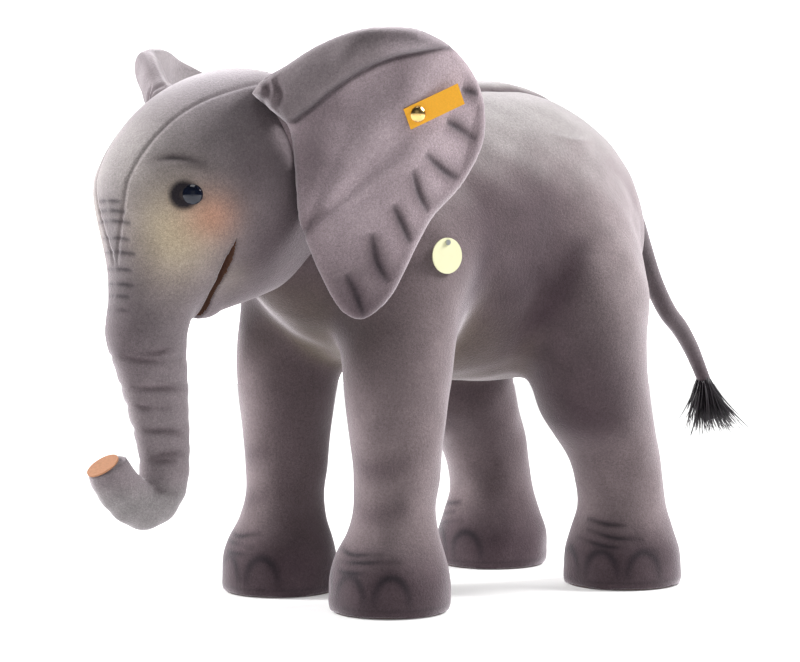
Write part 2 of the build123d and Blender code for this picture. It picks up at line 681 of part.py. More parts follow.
# ---- write -----------------------------------------------------------------------------------------
os.makedirs("parts", exist_ok=True)
for name, shape in nodes.items():
    export_step(Pos(0, MID_Y, 0) * shape, f"parts/{name}.step")
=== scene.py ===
import json
import math
import bmesh
import bpy
import numpy as np
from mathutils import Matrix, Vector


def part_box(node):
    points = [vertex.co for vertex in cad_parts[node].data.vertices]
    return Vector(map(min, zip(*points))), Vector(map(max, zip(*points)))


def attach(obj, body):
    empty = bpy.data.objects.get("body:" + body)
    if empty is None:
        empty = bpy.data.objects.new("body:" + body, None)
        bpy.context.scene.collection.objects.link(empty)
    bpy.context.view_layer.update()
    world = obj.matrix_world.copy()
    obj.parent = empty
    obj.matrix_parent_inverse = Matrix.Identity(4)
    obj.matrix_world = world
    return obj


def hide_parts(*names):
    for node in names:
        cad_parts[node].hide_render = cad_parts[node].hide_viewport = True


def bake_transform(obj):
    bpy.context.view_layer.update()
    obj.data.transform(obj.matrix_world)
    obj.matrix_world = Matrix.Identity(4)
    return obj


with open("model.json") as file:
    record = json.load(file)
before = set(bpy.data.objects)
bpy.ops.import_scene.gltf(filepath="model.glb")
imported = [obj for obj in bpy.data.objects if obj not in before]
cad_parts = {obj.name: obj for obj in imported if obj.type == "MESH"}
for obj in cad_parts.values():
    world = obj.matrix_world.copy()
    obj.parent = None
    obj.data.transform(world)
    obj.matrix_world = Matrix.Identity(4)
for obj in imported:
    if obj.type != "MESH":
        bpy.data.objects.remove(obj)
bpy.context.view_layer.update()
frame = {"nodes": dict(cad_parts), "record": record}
import openvdb
from mathutils import Matrix, Vector

record = frame["record"]
joints = {joint["name"]: joint for joint in record["behaviour"]["joints"]}
soles = {mount["name"]: mount["pos_m"] for mount in record["mounts"] if mount["kind"] == "flat_face"}
stance_y = sum(spot[1] for spot in soles.values()) / len(soles)

# ---- Studio: floor, light and camera -----------------------------------------------------------------
# A white sweep of paper under soft boxes. Distances here are in metres.
# The camera stands level with the animal's shoulder, off its left front leg.
def white_paper(name, rough, glow):
    """White paper that gives off some of the light it is flooded with."""
    material = bpy.data.materials.new(name)
    material.use_nodes = True
    shader = material.node_tree.nodes["Principled BSDF"]
    shader.inputs["Base Color"].default_value = (0.8, 0.8, 0.8, 1)
    shader.inputs["Roughness"].default_value = rough
    shader.inputs["Emission Color"].default_value = (1, 1, 1, 1)
    shader.inputs["Emission Strength"].default_value = glow
    return material


paper = white_paper("white_paper", 0.95, 0.22)
lit_paper = white_paper("lit_paper", 0.5, 1.05)
paper_near = 5.0
paper_far = 4.0
paper_wide = 9.0
paper_rise = 5.0
paper_bend = 1.5
bend_from = paper_far - paper_bend
profile = [(-paper_near, 0.0), (bend_from, 0.0)]
for turn in np.linspace(0.1, math.pi / 2, 16):
    profile.append((bend_from + paper_bend * math.sin(turn), paper_bend - paper_bend * math.cos(turn)))
profile.append((paper_far, paper_rise))
sweep = bmesh.new()
rows = [[sweep.verts.new((side * paper_wide / 2, run, high)) for run, high in profile] for side in (-1, 1)]
for k in range(len(profile) - 1):
    sweep.faces.new((rows[0][k], rows[1][k], rows[1][k + 1], rows[0][k + 1]))
paper_mesh = bpy.data.meshes.new("paper_sweep")
sweep.to_mesh(paper_mesh)
sweep.free()
paper_mesh.materials.append(paper)
paper_mesh.materials.append(lit_paper)
for k, polygon in enumerate(paper_mesh.polygons):
    polygon.material_index = 0 if k == 0 else 1
floor = bpy.data.objects.new("paper_sweep", paper_mesh)
bpy.context.scene.collection.objects.link(floor)

view_turn = math.radians(50)
view_rise = math.radians(2.5)
aim_across = -0.0388
aim_high = 0.2049
camera_far = 1.96
camera_lens = 110.25
floor.rotation_euler.z = view_turn
across = Vector((math.cos(view_turn), math.sin(view_turn), 0))
away = Vector(
    (math.sin(view_turn) * math.cos(view_rise), -math.cos(view_turn) * math.cos(view_rise), math.sin(view_rise))
)
aim = across * aim_across + Vector((0, stance_y, aim_high))
camera = bpy.data.objects.new("camera", bpy.data.cameras.new("camera"))
bpy.context.scene.collection.objects.link(camera)
camera.matrix_world = Matrix.Translation(aim + away * camera_far) @ Matrix(
    (across, away.cross(across), away)
).transposed().to_4x4()
camera.data.sensor_width = 36
camera.data.lens = camera_lens
bpy.context.scene.camera = camera


def soft_box(name, turn, rise, far, size, power):
    """Square lamp aimed at the animal's middle. Turn and rise are degrees from straight ahead, power is watts."""
    lamp = bpy.data.lights.new(name, "AREA")
    lamp.size = size
    lamp.energy = power
    holder = bpy.data.objects.new(name, lamp)
    bpy.context.scene.collection.objects.link(holder)
    turn, rise = math.radians(turn), math.radians(rise)
    way = Vector((math.sin(turn) * math.cos(rise), -math.cos(turn) * math.cos(rise), math.sin(rise)))
    holder.location = Vector((0, 0, 0.22)) + way * far
    holder.rotation_euler = way.to_track_quat("Z", "Y").to_euler()


soft_box("key_left", -50, 28, 2.2, 0.9, 74)
soft_box("rim_rear", 146, 38, 2.2, 0.9, 82)
soft_box("top", 40, 80, 2.0, 1.0, 9)
soft_box("fill_camera", 56, 12, 2.6, 1.6, 2)
room_glow = 0.05
world = bpy.data.worlds.new("studio")
bpy.context.scene.world = world
world.use_nodes = True
world.node_tree.nodes["Background"].inputs["Color"].default_value = (1, 1, 1, 1)
world.node_tree.nodes["Background"].inputs["Strength"].default_value = room_glow
bpy.context.scene.view_settings.view_transform = "Standard"

# ---- Body: torso, back strip and four legs -----------------------------------------------------------
# Two side panels, a belly panel and a strip along the back, sewn from short woven plush and stuffed hard.
# The legs are part of the side panels. Lengths are millimetres, measured from the middle of the four soles.
pile = 2.65  # thickness of the plush over the filling


def lattice(low, high, step):
    """Open axes of a box of cells."""
    spans = [np.arange(a, b + step, step, dtype=np.float32) for a, b in zip(low, high)]
    return spans[0][:, None, None], spans[1][None, :, None], spans[2][None, None, :]


def ease(at, knots, values):
    """Smooth curve through the values at the knots, level outside them."""
    knots = np.asarray(knots, np.float32)
    values = np.asarray(values, np.float32)
    slope = np.gradient(values, knots).astype(np.float32)
    at = np.clip(at, knots[0], knots[-1])
    index = np.clip(np.searchsorted(knots, at) - 1, 0, len(knots) - 2)
    gap = knots[index + 1] - knots[index]
    t = (at - knots[index]) / gap
    rest = 1 - t
    start = values[index] * (1 + 2 * t) * rest * rest + slope[index] * gap * t * rest * rest
    return start + values[index + 1] * t * t * (3 - 2 * t) - slope[index + 1] * gap * t * t * rest


def egg(x, y, z, centre, radii):
    """Distance to an ellipsoid, good near its surface."""
    u, v, w = (axis - c for axis, c in zip((x, y, z), centre))
    a, b, c = radii
    near = np.sqrt((u / a) ** 2 + (v / b) ** 2 + (w / c) ** 2)
    slope = np.sqrt((u / a**2) ** 2 + (v / b**2) ** 2 + (w / c**2) ** 2) + 1e-6
    return near * (near - 1) / slope


def taper(x, y, z, start, end, start_r, end_r):
    """Distance to a cone with round ends."""
    way = np.subtract(end, start).astype(np.float32)
    u, v, w = (axis - s for axis, s in zip((x, y, z), start))
    share = np.clip((u * way[0] + v * way[1] + w * way[2]) / float(way @ way), 0, 1)
    off = (u - share * way[0]) ** 2 + (v - share * way[1]) ** 2 + (w - share * way[2]) ** 2
    return np.sqrt(off) - (start_r + (end_r - start_r) * share)


def column(x, y, z, rings):
    """Distance to an upright limb of round sections: height, radius, across, along."""
    high, radius, side, along = np.array(rings, np.float32).T
    round_part = np.hypot(x - ease(z, high, side), y - ease(z, high, along)) - ease(z, high, radius)
    return np.maximum(round_part, np.maximum(high[0] - z, z - high[-1]))


def melt(a, b, width):
    """Union of two forms, its inner corner filled to a soft fold."""
    share = np.clip(0.5 + 0.5 * (b - a) / width, 0, 1)
    return b + (a - b) * share - width * share * (1 - share)


def dent(distance, width, depth):
    """Groove along a line where the distance is zero."""
    return depth * np.exp(-((distance / width) ** 2))


def lumps(x, y, z, size, depth, seed):
    """Gentle uneven swelling of hand stuffing."""
    draw = np.random.default_rng(seed)
    total = 0
    for _ in range(5):
        pitch = draw.uniform(0.6, 1.4, 3) * 2 * math.pi / size
        phase = draw.uniform(0, 2 * math.pi, 3)
        total = total + np.sin(pitch[0] * x + phase[0]) * np.sin(pitch[1] * y + phase[1]) * np.sin(
            pitch[2] * z + phase[2]
        )
    return depth * total / 2


torso_low, torso_high = (corner * 1000 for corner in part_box("torso_stuffing"))
torso_z = (torso_low.z + torso_high.z) / 2
torso_r = (torso_high.z - torso_low.z) / 2 + pile
torso_half_width = torso_high.x + pile
torso_peak_y = 40.0
torso_front = 240.0
torso_rear = 146.0
ridge_rise = 6.5
ridge_half_width = 25.0
ridge_run = (-185.0, 158.0)
front_foot_x = soles["front_left_sole"][0] * 1000
rear_foot_x = soles["rear_left_sole"][0] * 1000
foot_y = (soles["rear_left_sole"][1] - stance_y) * 1000
sole_low_z = 1.2
front_rings = [  # height, radius, and where the middle stands across and along
    (sole_low_z, 44.6, front_foot_x, -foot_y), (5, 45.7, front_foot_x, -foot_y), (14, 45.9, front_foot_x, -foot_y),
    (28, 45, front_foot_x, -foot_y), (42, 41.5, front_foot_x, -117), (58, 35, front_foot_x, -115),
    (76, 31, front_foot_x, -113), (100, 32.5, 68, -111), (130, 35.5, 68, -111), (170, 40.5, 67, -110),
    (220, 45, 64, -104), (262, 50, 57, -95), (300, 46, 47, -90), (330, 30, 38, -88),
]
rear_rings = [
    (sole_low_z, 46.1, rear_foot_x, foot_y), (5, 47.2, rear_foot_x, foot_y), (14, 47.3, rear_foot_x, foot_y),
    (28, 46.5, rear_foot_x, foot_y), (44, 41.5, rear_foot_x, foot_y), (62, 36, rear_foot_x, foot_y),
    (84, 35.5, rear_foot_x, 114), (108, 38, rear_foot_x, 106), (135, 44, 79, 90), (165, 47, 80, 79),
    (195, 50, 80, 73), (240, 57, 73, 71), (285, 54, 62, 68), (325, 40, 52, 62), (345, 24, 46, 60),
]


def ridge_width(y):
    """Half width of the strip along the back, pointed at both ends."""
    share = np.clip((y - ridge_run[0]) / (ridge_run[1] - ridge_run[0]), 0, 1)
    return ridge_half_width * np.clip(np.sin(math.pi * share), 0, 1) ** 0.7


def torso_field(side, y, z):
    """Barrel of two half eggs, long to the neck and blunt to the tail."""
    blunt = egg(side, y, z, (0, torso_peak_y, torso_z), (torso_half_width, torso_rear, torso_r))
    long = egg(side, y, z, (0, torso_peak_y, torso_z), (torso_half_width, torso_front, torso_r))
    return np.where(y > torso_peak_y, blunt, long)


def body_field(x, y, z):
    """Barrel with its raised strip and the four legs, the same on both sides."""
    side = np.abs(x)
    form = torso_field(side, y, z)
    width = ridge_width(y) + 1e-3
    crown = np.sqrt(np.clip(1 - (side / width) ** 2, 0, 1))
    form = form - np.where(z > torso_z, ridge_rise * crown * np.clip(width / ridge_half_width, 0, 1), 0)
    form = form + np.where(z > torso_z, dent(side - width, 2.6, 1.6), 0)
    form = melt(form, column(side, y, z, front_rings), 24)
    form = melt(form, column(side, y, z, rear_rings), 20)
    return form


def polygonise(field, low, step):
    """Points in millimetres and four-sided faces of the surface where the field is zero."""
    cells = openvdb.FloatGrid(float(field.max()))
    cells.copyFromArray(np.ascontiguousarray(field, dtype=np.float32))
    points, quads = cells.convertToQuads()
    return points * step + np.asarray(low, np.float32), quads.astype(np.int32)


def point_normals(points, quads):
    """Outward direction at each point, from the faces that meet there."""
    corner = points[quads]
    face = np.cross(corner[:, 2] - corner[:, 0], corner[:, 3] - corner[:, 1])
    total = np.zeros_like(points)
    for k in range(4):
        for axis in range(3):
            total[:, axis] += np.bincount(quads[:, k], face[:, axis], len(points))
    return total / (np.linalg.norm(total, axis=1, keepdims=True) + 1e-9)


def to_frame(points):
    """From millimetres about the soles to the shared frame in metres."""
    return (points + np.array((0, stance_y * 1000, 0))) / 1000


def sew(name, points, quads, normals, paint, material, keep_normals=True):
    """One piece with its painted colours at the points: airbrushed dye, and painted light and shade."""
    used, flat = np.unique(quads, return_inverse=True)
    faces = flat.reshape(quads.shape)
    mesh = bpy.data.meshes.new(name)
    mesh.vertices.add(len(used))
    mesh.vertices.foreach_set("co", to_frame(points[used]).astype(np.float32).ravel())
    mesh.loops.add(faces.size)
    mesh.loops.foreach_set("vertex_index", faces.astype(np.int32).ravel())
    mesh.polygons.add(len(faces))
    mesh.polygons.foreach_set("loop_start", np.arange(0, faces.size, faces.shape[1], dtype=np.int32))
    mesh.polygons.foreach_set("loop_total", np.full(len(faces), faces.shape[1], np.int32))
    mesh.update(calc_edges=True)
    mesh.polygons.foreach_set("use_smooth", np.ones(len(faces), bool))
    colour = mesh.color_attributes.new("paint", "FLOAT_COLOR", "POINT")
    rgba = np.ones((len(used), 4), np.float32)
    rgba[:, :3] = np.clip(paint[used], 0, 1)
    colour.data.foreach_set("color", rgba.ravel())
    if keep_normals:
        mesh.normals_split_custom_set_from_vertices(normals[used].tolist())
    mesh.materials.append(material)
    piece = bpy.data.objects.new(name, mesh)
    bpy.context.scene.collection.objects.link(piece)
    return piece


def stroke(spots, line, width):
    """How much an airbrush pass along a line colours each spot. The pass fades at both ends."""
    line = np.asarray(line, float)
    reach = 3 * width
    near = np.flatnonzero(np.all((spots > line.min(0) - reach) & (spots < line.max(0) + reach), axis=1))
    amount = np.zeros(len(spots))
    if not len(near):
        return amount
    best = np.full(len(near), np.inf)
    place = np.zeros(len(near))
    for index, (a, b) in enumerate(zip(line, line[1:])):
        share = np.clip((spots[near] - a) @ (b - a) / ((b - a) @ (b - a) + 1e-9), 0, 1)
        off = np.linalg.norm(spots[near] - a - share[:, None] * (b - a), axis=1)
        closer = off < best
        best = np.where(closer, off, best)
        place = np.where(closer, (index + share) / (len(line) - 1), place)
    amount[near] = np.exp(-((best / width) ** 2)) * np.clip(np.sin(math.pi * place), 0, 1) ** 0.45
    return amount


def curve(knots, count=16):
    """Smooth line through a few points."""
    knots = np.asarray(knots, float)
    at = np.linspace(0, len(knots) - 1, count)
    return np.stack([ease(at, np.arange(len(knots)), knots[:, k]) for k in range(knots.shape[1])], axis=1)


def puff(spots, centre, radii):
    """Soft cloud of colour."""
    return np.exp(-(((spots - np.array(centre)) / np.array(radii)) ** 2).sum(1))


def spray(colour, tone, amount):
    """Lays a tone over the colour."""
    amount = np.clip(amount, 0, 1)[:, None]
    return colour * (1 - amount) + np.array(tone) * amount


def step_up(value, low, high):
    """Soft rise from 0 at the low value to 1 at the high one."""
    share = np.clip((value - low) / (high - low), 0, 1)
    return share * share * (3 - 2 * share)


taupe = (0.185, 0.145, 0.152)
back_highlight_taupe = (0.36, 0.34, 0.335)
plum_brown = (0.060, 0.040, 0.048)
soot = (0.022, 0.018, 0.022)
olive_beige = (0.200, 0.165, 0.120)


def on_leg(rings, turn, height):
    """Point on the left leg at a turn from straight ahead, in degrees."""
    high, radius, side, along = np.array(rings, float).T
    r = ease(height, high, radius)
    turn = math.radians(turn)
    return (ease(height, high, side) + r * math.sin(turn), ease(height, high, along) - r * math.cos(turn), height)


def nail_arch(rings, turn, wide, low, high):
    """Arch drawn round one toenail."""
    spots = []
    for angle in np.linspace(0, math.pi, 15):
        spots.append(on_leg(rings, turn - wide * math.cos(angle), low + (high - low) * math.sin(angle) ** 0.8))
    return spots


front_nails = (-34, 9, 52)  # turn of each toenail
rear_nails = (-20, 24, 67)
side_shades = [curve(line, 16) for line in (  # painted shade in the hollows behind the shoulder, before the thigh and round the knee
    [(0, -54, 312), (0, -46, 282), (0, -54, 256), (0, -64, 230), (0, -78, 200)],
    [(0, 36, 282), (0, 30, 259), (0, 21, 235), (0, 9, 209), (0, -5, 190)],
    [(0, -2, 189), (0, 14, 162), (0, 27, 143), (0, 50, 133), (0, 72, 129)],
)]
front_creases = [  # turn and height of three points each
    ((-30, 49), (5, 46), (45, 47)), ((-25, 38), (20, 41), (62, 42)), ((-38, 33), (12, 33), (75, 35)),
]
rear_creases = [
    ((-5, 55), (25, 52), (50, 51)), ((0, 47), (35, 42), (70, 40)), ((-15, 40), (30, 35), (85, 31)),
]
# painted shade along the fold before the thigh and the creases round the legs
body_fold_shades = [curve([(112, 40, 284), (112, 21, 244), (104, 7, 212)], 12)]
for rings, *turns in (
    (rear_rings, (-10, 176), (22, 150), (80, 134)),
    (front_rings, (-30, 116), (15, 108), (70, 116)),
    (front_rings, (-30, 80), (15, 74), (70, 80)),
):
    body_fold_shades.append(curve([on_leg(rings, turn, height) for turn, height in turns], 12))


def leg_paint(spots, colour, rings, nails, creases):
    """Ankle creases, toenail arches and sooty shadows, the same on both sides."""
    for turn in nails:
        arch = nail_arch(rings, turn, 17, 8, 31)
        colour = spray(colour, plum_brown, 0.75 * stroke(spots, arch, 7.0))
        colour = spray(colour, soot, 0.92 * stroke(spots, arch, 3.1))
    for crease in creases:
        line = curve([on_leg(rings, turn, height) for turn, height in crease])
        colour = spray(colour, plum_brown, 0.5 * stroke(spots, line, 4.0))
        colour = spray(colour, soot, 0.95 * stroke(spots, line, 1.8))
    return colour


def cloud_over(colour, spots, clouds):
    """Sprays soft clouds one after the other: tone, strength, centre, radii."""
    for tone, strength, centre, radii in clouds:
        colour = spray(colour, tone, strength * puff(spots, centre, radii))
    return colour


def mirrored(points):
    """The points folded over onto the left side."""
    spots = points.astype(float)
    spots[:, 0] = np.abs(spots[:, 0])
    return spots


# dark tone under the chest: partly dye, partly painted shade where the chest is shut off from the light
chest_dye_and_shade_umber = (0.045, 0.032, 0.028)
haunch_highlight_taupe = (0.33, 0.285, 0.29)
# airbrushed dye together with painted shade: dark clouds in the flank and haunch hollows, on the thigh, under the
# chest and under the belly
flank_dye_and_shade_clouds = [
    (plum_brown, 0.72, (105, 8, 255), (70, 28, 66)), (plum_brown, 0.50, (105, -10, 220), (60, 50, 42)),
    (plum_brown, 0.50, (110, -60, 290), (50, 34, 60)), (plum_brown, 0.75, (110, 62, 160), (60, 34, 60)),
    (plum_brown, 0.70, (40, -180, 235), (80, 60, 60)), (plum_brown, 0.55, (40, 60, 190), (60, 80, 40)),
    (plum_brown, 0.70, (100, -14, 240), (60, 34, 58)), (plum_brown, 0.70, (50, -190, 196), (75, 34, 20)),
    (chest_dye_and_shade_umber, 0.90, (52, -180, 208), (62, 44, 34)), (plum_brown, 0.45, (45, -20, 182), (60, 70, 24)),
    (plum_brown, 0.60, (105, 40, 162), (50, 32, 38)), (plum_brown, 0.60, (100, -8, 305), (50, 42, 32)),
]
# painted shade on the neck behind the head and under the ear
neck_shade_clouds = [(plum_brown, 0.45, (80, -150, 345), (60, 60, 40))]
# painted highlight: a paler cloud on the outer haunch, where the rear light falls
haunch_highlight_clouds = [(haunch_highlight_taupe, 0.45, (115, 95, 250), (60, 40, 70))]


def body_paint(points, normals):
    """Airbrushed dye of the body with painted light and shade: a painted highlight on the back, painted shade in the
    hollows, between the legs and under the chest, dark feet and seams.
    """
    spots = mirrored(points)
    colour = np.tile(np.array(taupe), (len(spots), 1))
    x, y, z = spots.T
    up = normals[:, 2]
    out = normals[:, 0] * np.sign(points[:, 0])
    colour = spray(colour, olive_beige, 0.85 * step_up(-up, 0.2, 0.8) * step_up(z, 120, 180))
    # painted shade: faces turned inwards below 230 mm, between the legs and under the belly, are darkened
    colour = spray(colour, plum_brown, 0.55 * step_up(-out, 0.1, 0.9) * step_up(230 - z, 0, 60))
    colour = cloud_over(colour, spots, flank_dye_and_shade_clouds)
    # painted shade along the hollows of the side, on its outer parts only
    outer = step_up(x, 40, 70)
    for line in side_shades:
        colour = spray(colour, plum_brown, 0.80 * outer * stroke(spots * np.array((0, 1, 1)), line, 11))
    colour = cloud_over(colour, spots, neck_shade_clouds)
    colour = spray(colour, plum_brown, 0.90 * step_up(72 - z, 0, 50))
    colour = cloud_over(colour, spots, haunch_highlight_clouds)
    # painted highlight: up-facing surfaces high on the back are made paler, where the top light falls
    colour = spray(colour, back_highlight_taupe, 0.85 * step_up(up, 0.2, 0.85) * step_up(z, 250, 350))
    # dark line along both seams of the back strip: partly dye, partly painted shade in the seam groove
    edge = np.abs(x - ridge_width(y))
    on_back = step_up(z, torso_z + 30, torso_z + 70)
    colour = spray(colour, plum_brown, 0.75 * on_back * np.exp(-((edge / 2.6) ** 2)) * (ridge_width(y) > 2))
    colour = spray(colour, soot, 0.35 * np.exp(-(((z - 6.5) / 1.3) ** 2)))
    # painted shade in the folds
    for line in body_fold_shades:
        colour = spray(colour, plum_brown, 0.5 * stroke(spots, line, 9))
    colour = leg_paint(spots, colour, front_rings, front_nails, front_creases)
    return leg_paint(spots, colour, rear_rings, rear_nails, rear_creases)


def plush(name, nap=1300.0, depth=0.0004, sheen=1.0):
    """Short woven plush: mottled dye, fine pile and a soft bloom along its edges."""
    material = bpy.data.materials.new(name)
    material.use_nodes = True
    nodes = material.node_tree.nodes
    links = material.node_tree.links
    shader = nodes["Principled BSDF"]
    dye = nodes.new("ShaderNodeAttribute")
    dye.attribute_name = "paint"
    place = nodes.new("ShaderNodeTexCoord")
    grains = {}
    for key, scale, detail in (("pile", nap, 3), ("tuft", 520, 3), ("cloud", 46, 3)):
        grain = nodes.new("ShaderNodeTexNoise")
        grain.inputs["Scale"].default_value = scale
        grain.inputs["Detail"].default_value = detail
        links.new(place.outputs["Object"], grain.inputs["Vector"])
        grains[key] = grain
    shade = dye.outputs["Color"]
    for key, low, high in (("pile", 0.76, 1.24), ("tuft", 0.88, 1.12), ("cloud", 0.90, 1.10)):
        span = nodes.new("ShaderNodeMapRange")
        span.inputs["From Min"].default_value = 0.3
        span.inputs["From Max"].default_value = 0.7
        span.inputs["To Min"].default_value = low
        span.inputs["To Max"].default_value = high
        links.new(grains[key].outputs["Fac"], span.inputs["Value"])
        mix = nodes.new("ShaderNodeMix")
        mix.data_type = "RGBA"
        mix.blend_type = "MULTIPLY"
        mix.inputs["Factor"].default_value = 1
        links.new(shade, mix.inputs["A"])
        links.new(span.outputs["Result"], mix.inputs["B"])
        shade = mix.outputs["Result"]
    links.new(shade, shader.inputs["Base Color"])
    relief = None
    for key, strength, distance in (("tuft", 0.35, 2.2 * depth), ("pile", 0.6, depth)):
        bump = nodes.new("ShaderNodeBump")
        bump.inputs["Strength"].default_value = strength
        bump.inputs["Distance"].default_value = distance
        links.new(grains[key].outputs["Fac"], bump.inputs["Height"])
        if relief:
            links.new(relief, bump.inputs["Normal"])
        relief = bump.outputs["Normal"]
    links.new(relief, shader.inputs["Normal"])
    shader.inputs["Roughness"].default_value = 0.95
    shader.inputs["Specular IOR Level"].default_value = 0.12
    shader.inputs["Sheen Weight"].default_value = sheen
    shader.inputs["Sheen Roughness"].default_value = 0.4
    shader.inputs["Sheen Tint"].default_value = (0.78, 0.73, 0.77, 1)
    return material


body_plush = plush("taupe_plush")
body_step = 1.5
body_low = np.array((-141.0, -203.0, -2.0))
body_high = np.array((141.0, 191.0, 409.0))
cells = lattice(body_low, body_high, body_step)
body = body_field(*cells) + lumps(*cells, 60, 0.6, 5)
points, quads = polygonise(body, body_low, body_step)
normals = point_normals(points, quads)
paint = body_paint(points, normals)
centre = points[quads].mean(1)
limb_top_z = 178.0
on_ridge = (np.abs(centre[:, 0]) < ridge_width(centre[:, 1])) & (centre[:, 2] > torso_z)
front_half = centre[:, 1] < 0
low_down = centre[:, 2] < limb_top_z
body_parts = {"back_strip": on_ridge}
for name, side in (("left", 1), ("right", -1)):
    mine = (centre[:, 0] > 0 if side > 0 else centre[:, 0] <= 0) & ~on_ridge
    body_parts[f"body_panel_{name}"] = mine & ~low_down
    body_parts[f"front_leg_{name}"] = mine & low_down & front_half
    body_parts[f"rear_leg_{name}"] = mine & low_down & ~front_half
covers = {
    "back_strip": ["back_gusset"],
    "body_panel_left": ["torso_skin_left", "torso_stuffing"],
    "body_panel_right": ["torso_skin_right"],
}
for pair in ("front", "rear"):
    for side in ("left", "right"):
        covers[f"{pair}_leg_{side}"] = [f"{pair}_leg_skin_{side}", f"{pair}_leg_stuffing_{side}"]
for name, members in body_parts.items():
    piece = sew(name, points, quads[members], normals, paint, body_plush)
    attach(piece, "root")
    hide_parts(*covers[name])


# ---- Head and trunk ----------------------------------------------------------------------------------
# Two cheek panels, a strip over forehead and crown, and a lower lip, stuffed round the eyes and the mouth.
# The trunk is one tube of the same plush, creased by hand stitches.
head_centre = (0, -228.0, 322.0)
head_radii = (74.0, 92.0, 84.0)
brow_lean = 0.26
trunk_root = ((0, -270.0, 300.0), (0, -291.0, 212.0), 46.0, 27.0)
jaw = ((0, -190.0, 285.0), (0, -240.0, 238.0), 47.0, 16.0)
trunk_line = [  # along, height, radius
    (-291, 214, 26.6), (-288.5, 199, 26.0), (-285.5, 185, 25.0), (-282.5, 170, 23.0), (-280, 155, 21.2),
    (-277.3, 140.5, 19.6), (-275.5, 126, 18.3), (-275, 111, 17.6), (-277, 99, 17.1), (-283.5, 89.5, 16.9),
    (-293.5, 86, 16.8), (-304, 91, 16.6), (-313.5, 99.5, 16.1), (-320.5, 109, 15.4), (-324.6, 117, 14.8),
]


def slit_centre(z):
    """How far along the mouth's slit lies at a height."""
    return -250 - 3 * step_up(z, 225, 265)


def head_forms(side, y, z):
    """Skull, muzzle and jaw of one half."""
    lean = brow_lean * np.maximum(z - head_centre[2], 0)
    skull = egg(side, y - lean, z, head_centre, head_radii)
    muzzle = taper(side, y, z, *trunk_root)
    chin = taper(side, y, z, *jaw)
    return skull, muzzle, chin


def trunk_field(side, y, z):
    """Tube through the centreline, flat at its open tip."""
    (y0, z0, _), (y1, z1, _) = trunk_line[-2:]
    tip = ((y - y1) * (y1 - y0) + (z - z1) * (z1 - z0)) / math.hypot(y1 - y0, z1 - z0)
    best = None
    for index, ((y0, z0, r0), (y1, z1, r1)) in enumerate(zip(trunk_line, trunk_line[1:])):
        part = taper(side, y, z, (0, y0, z0), (0, y1, z1), r0, r1)
        if index > len(trunk_line) - 6:
            part = np.maximum(part, tip)
        best = part if best is None else melt(best, part, 3)
    return best


head_step = 1.25
trunk_join_z = 258
strip_low_z = 262
mouth_z = 250
mouth_half_high = 34
head_low = np.array((0.0, -352.0, 64.0))
head_high = np.array((81.0, -100.0, 410.0))
cells = lattice(head_low, head_high, head_step)
skull, muzzle, chin = head_forms(*cells)
head = melt(melt(skull, muzzle, 26), chin, 18)
split = int((trunk_join_z - head_low[2]) / head_step)
low_cells = (cells[0], cells[1], cells[2][:, :, :split])
head[:, :, :split] = melt(head[:, :, :split], trunk_field(*low_cells), 10)
slit_half = 3.4 * step_up(284 - cells[2], 0, 22)
slit = np.maximum(np.abs(cells[1] - slit_centre(cells[2])) - slit_half, np.abs(cells[2] - mouth_z) - mouth_half_high)
slit = np.maximum(slit, -15 - head)
whole = np.maximum(head, -slit)
whole = np.concatenate([whole[:0:-1], whole])
grid_low = head_low.copy()
grid_low[0] = -(whole.shape[0] // 2) * head_step
points, quads = polygonise(whole, grid_low, head_step)


def fold(points, normals, lines, width, depth, both=True):
    """Presses lines into the surface, or raises them where the depth is negative."""
    spots = mirrored(points) if both else points.astype(float)
    total = np.zeros(len(points))
    for line in lines:
        total = np.maximum(total, stroke(spots, line, width))
    return points - normals * (depth * total)[:, None]


trunk_bands = [  # height at the middle of the front, half length
    (307, 15), (300, 18), (292.6, 21), (280.4, 18), (270.4, 20), (258.3, 16), (247.5, 17), (239, 14), (229, 15),
]
trunk_wrinkles = [  # along and height of the points on the side
    [(-316, 201), (-303, 199), (-291, 201), (-266, 210)], [(-321, 196), (-301, 193), (-276, 193)],
    [(-313, 173), (-291, 173), (-267, 171)], [(-296, 166), (-263, 163)], [(-310, 159), (-283, 159)],
    [(-303, 140), (-294, 142), (-281, 141), (-264, 135)], [(-292, 122), (-281, 125), (-261, 120)],
    [(-302, 117), (-286, 120), (-276, 118)], [(-294, 99), (-274, 95)],
]


def on_trunk(y, z):
    """Point on the left side of the trunk at a place on its side view."""
    line = np.array(trunk_line, float)
    best = None
    for a, b in zip(line, line[1:]):
        run = b[:2] - a[:2]
        share = float(np.clip((np.array((y, z)) - a[:2]) @ run / (run @ run), 0, 1))
        middle = a + (b - a) * share
        off = math.hypot(y - middle[0], z - middle[1])
        if best is None or off < best[0]:
            best = (off, middle)
    off, (_, _, r) = best
    return (math.sqrt(max(r * r - min(off, 0.98 * r) ** 2, 0)), y, z)


def muzzle_front(x, z):
    """Front of the muzzle at a place across and a height."""
    near = np.linspace(-330, -240, 181, dtype=np.float32)[None, :, None]
    skull, muzzle, chin = head_forms(np.array(x, np.float32).reshape(1, 1, 1), near, np.float32(z).reshape(1, 1, 1))
    inside = (melt(skull, muzzle, 26) < 0).ravel()
    return (x, float(near.ravel()[np.argmax(inside)]), z)


band_lines = []
for high, reach in trunk_bands:
    band_lines.append([muzzle_front(x, high - 0.004 * x * x) for x in np.linspace(0, reach, 6)])
wrinkle_lines = [curve([on_trunk(*spot) for spot in wrinkle], 12) for wrinkle in trunk_wrinkles]
eye_spot = np.array((50.0, -292.0, 311.0))


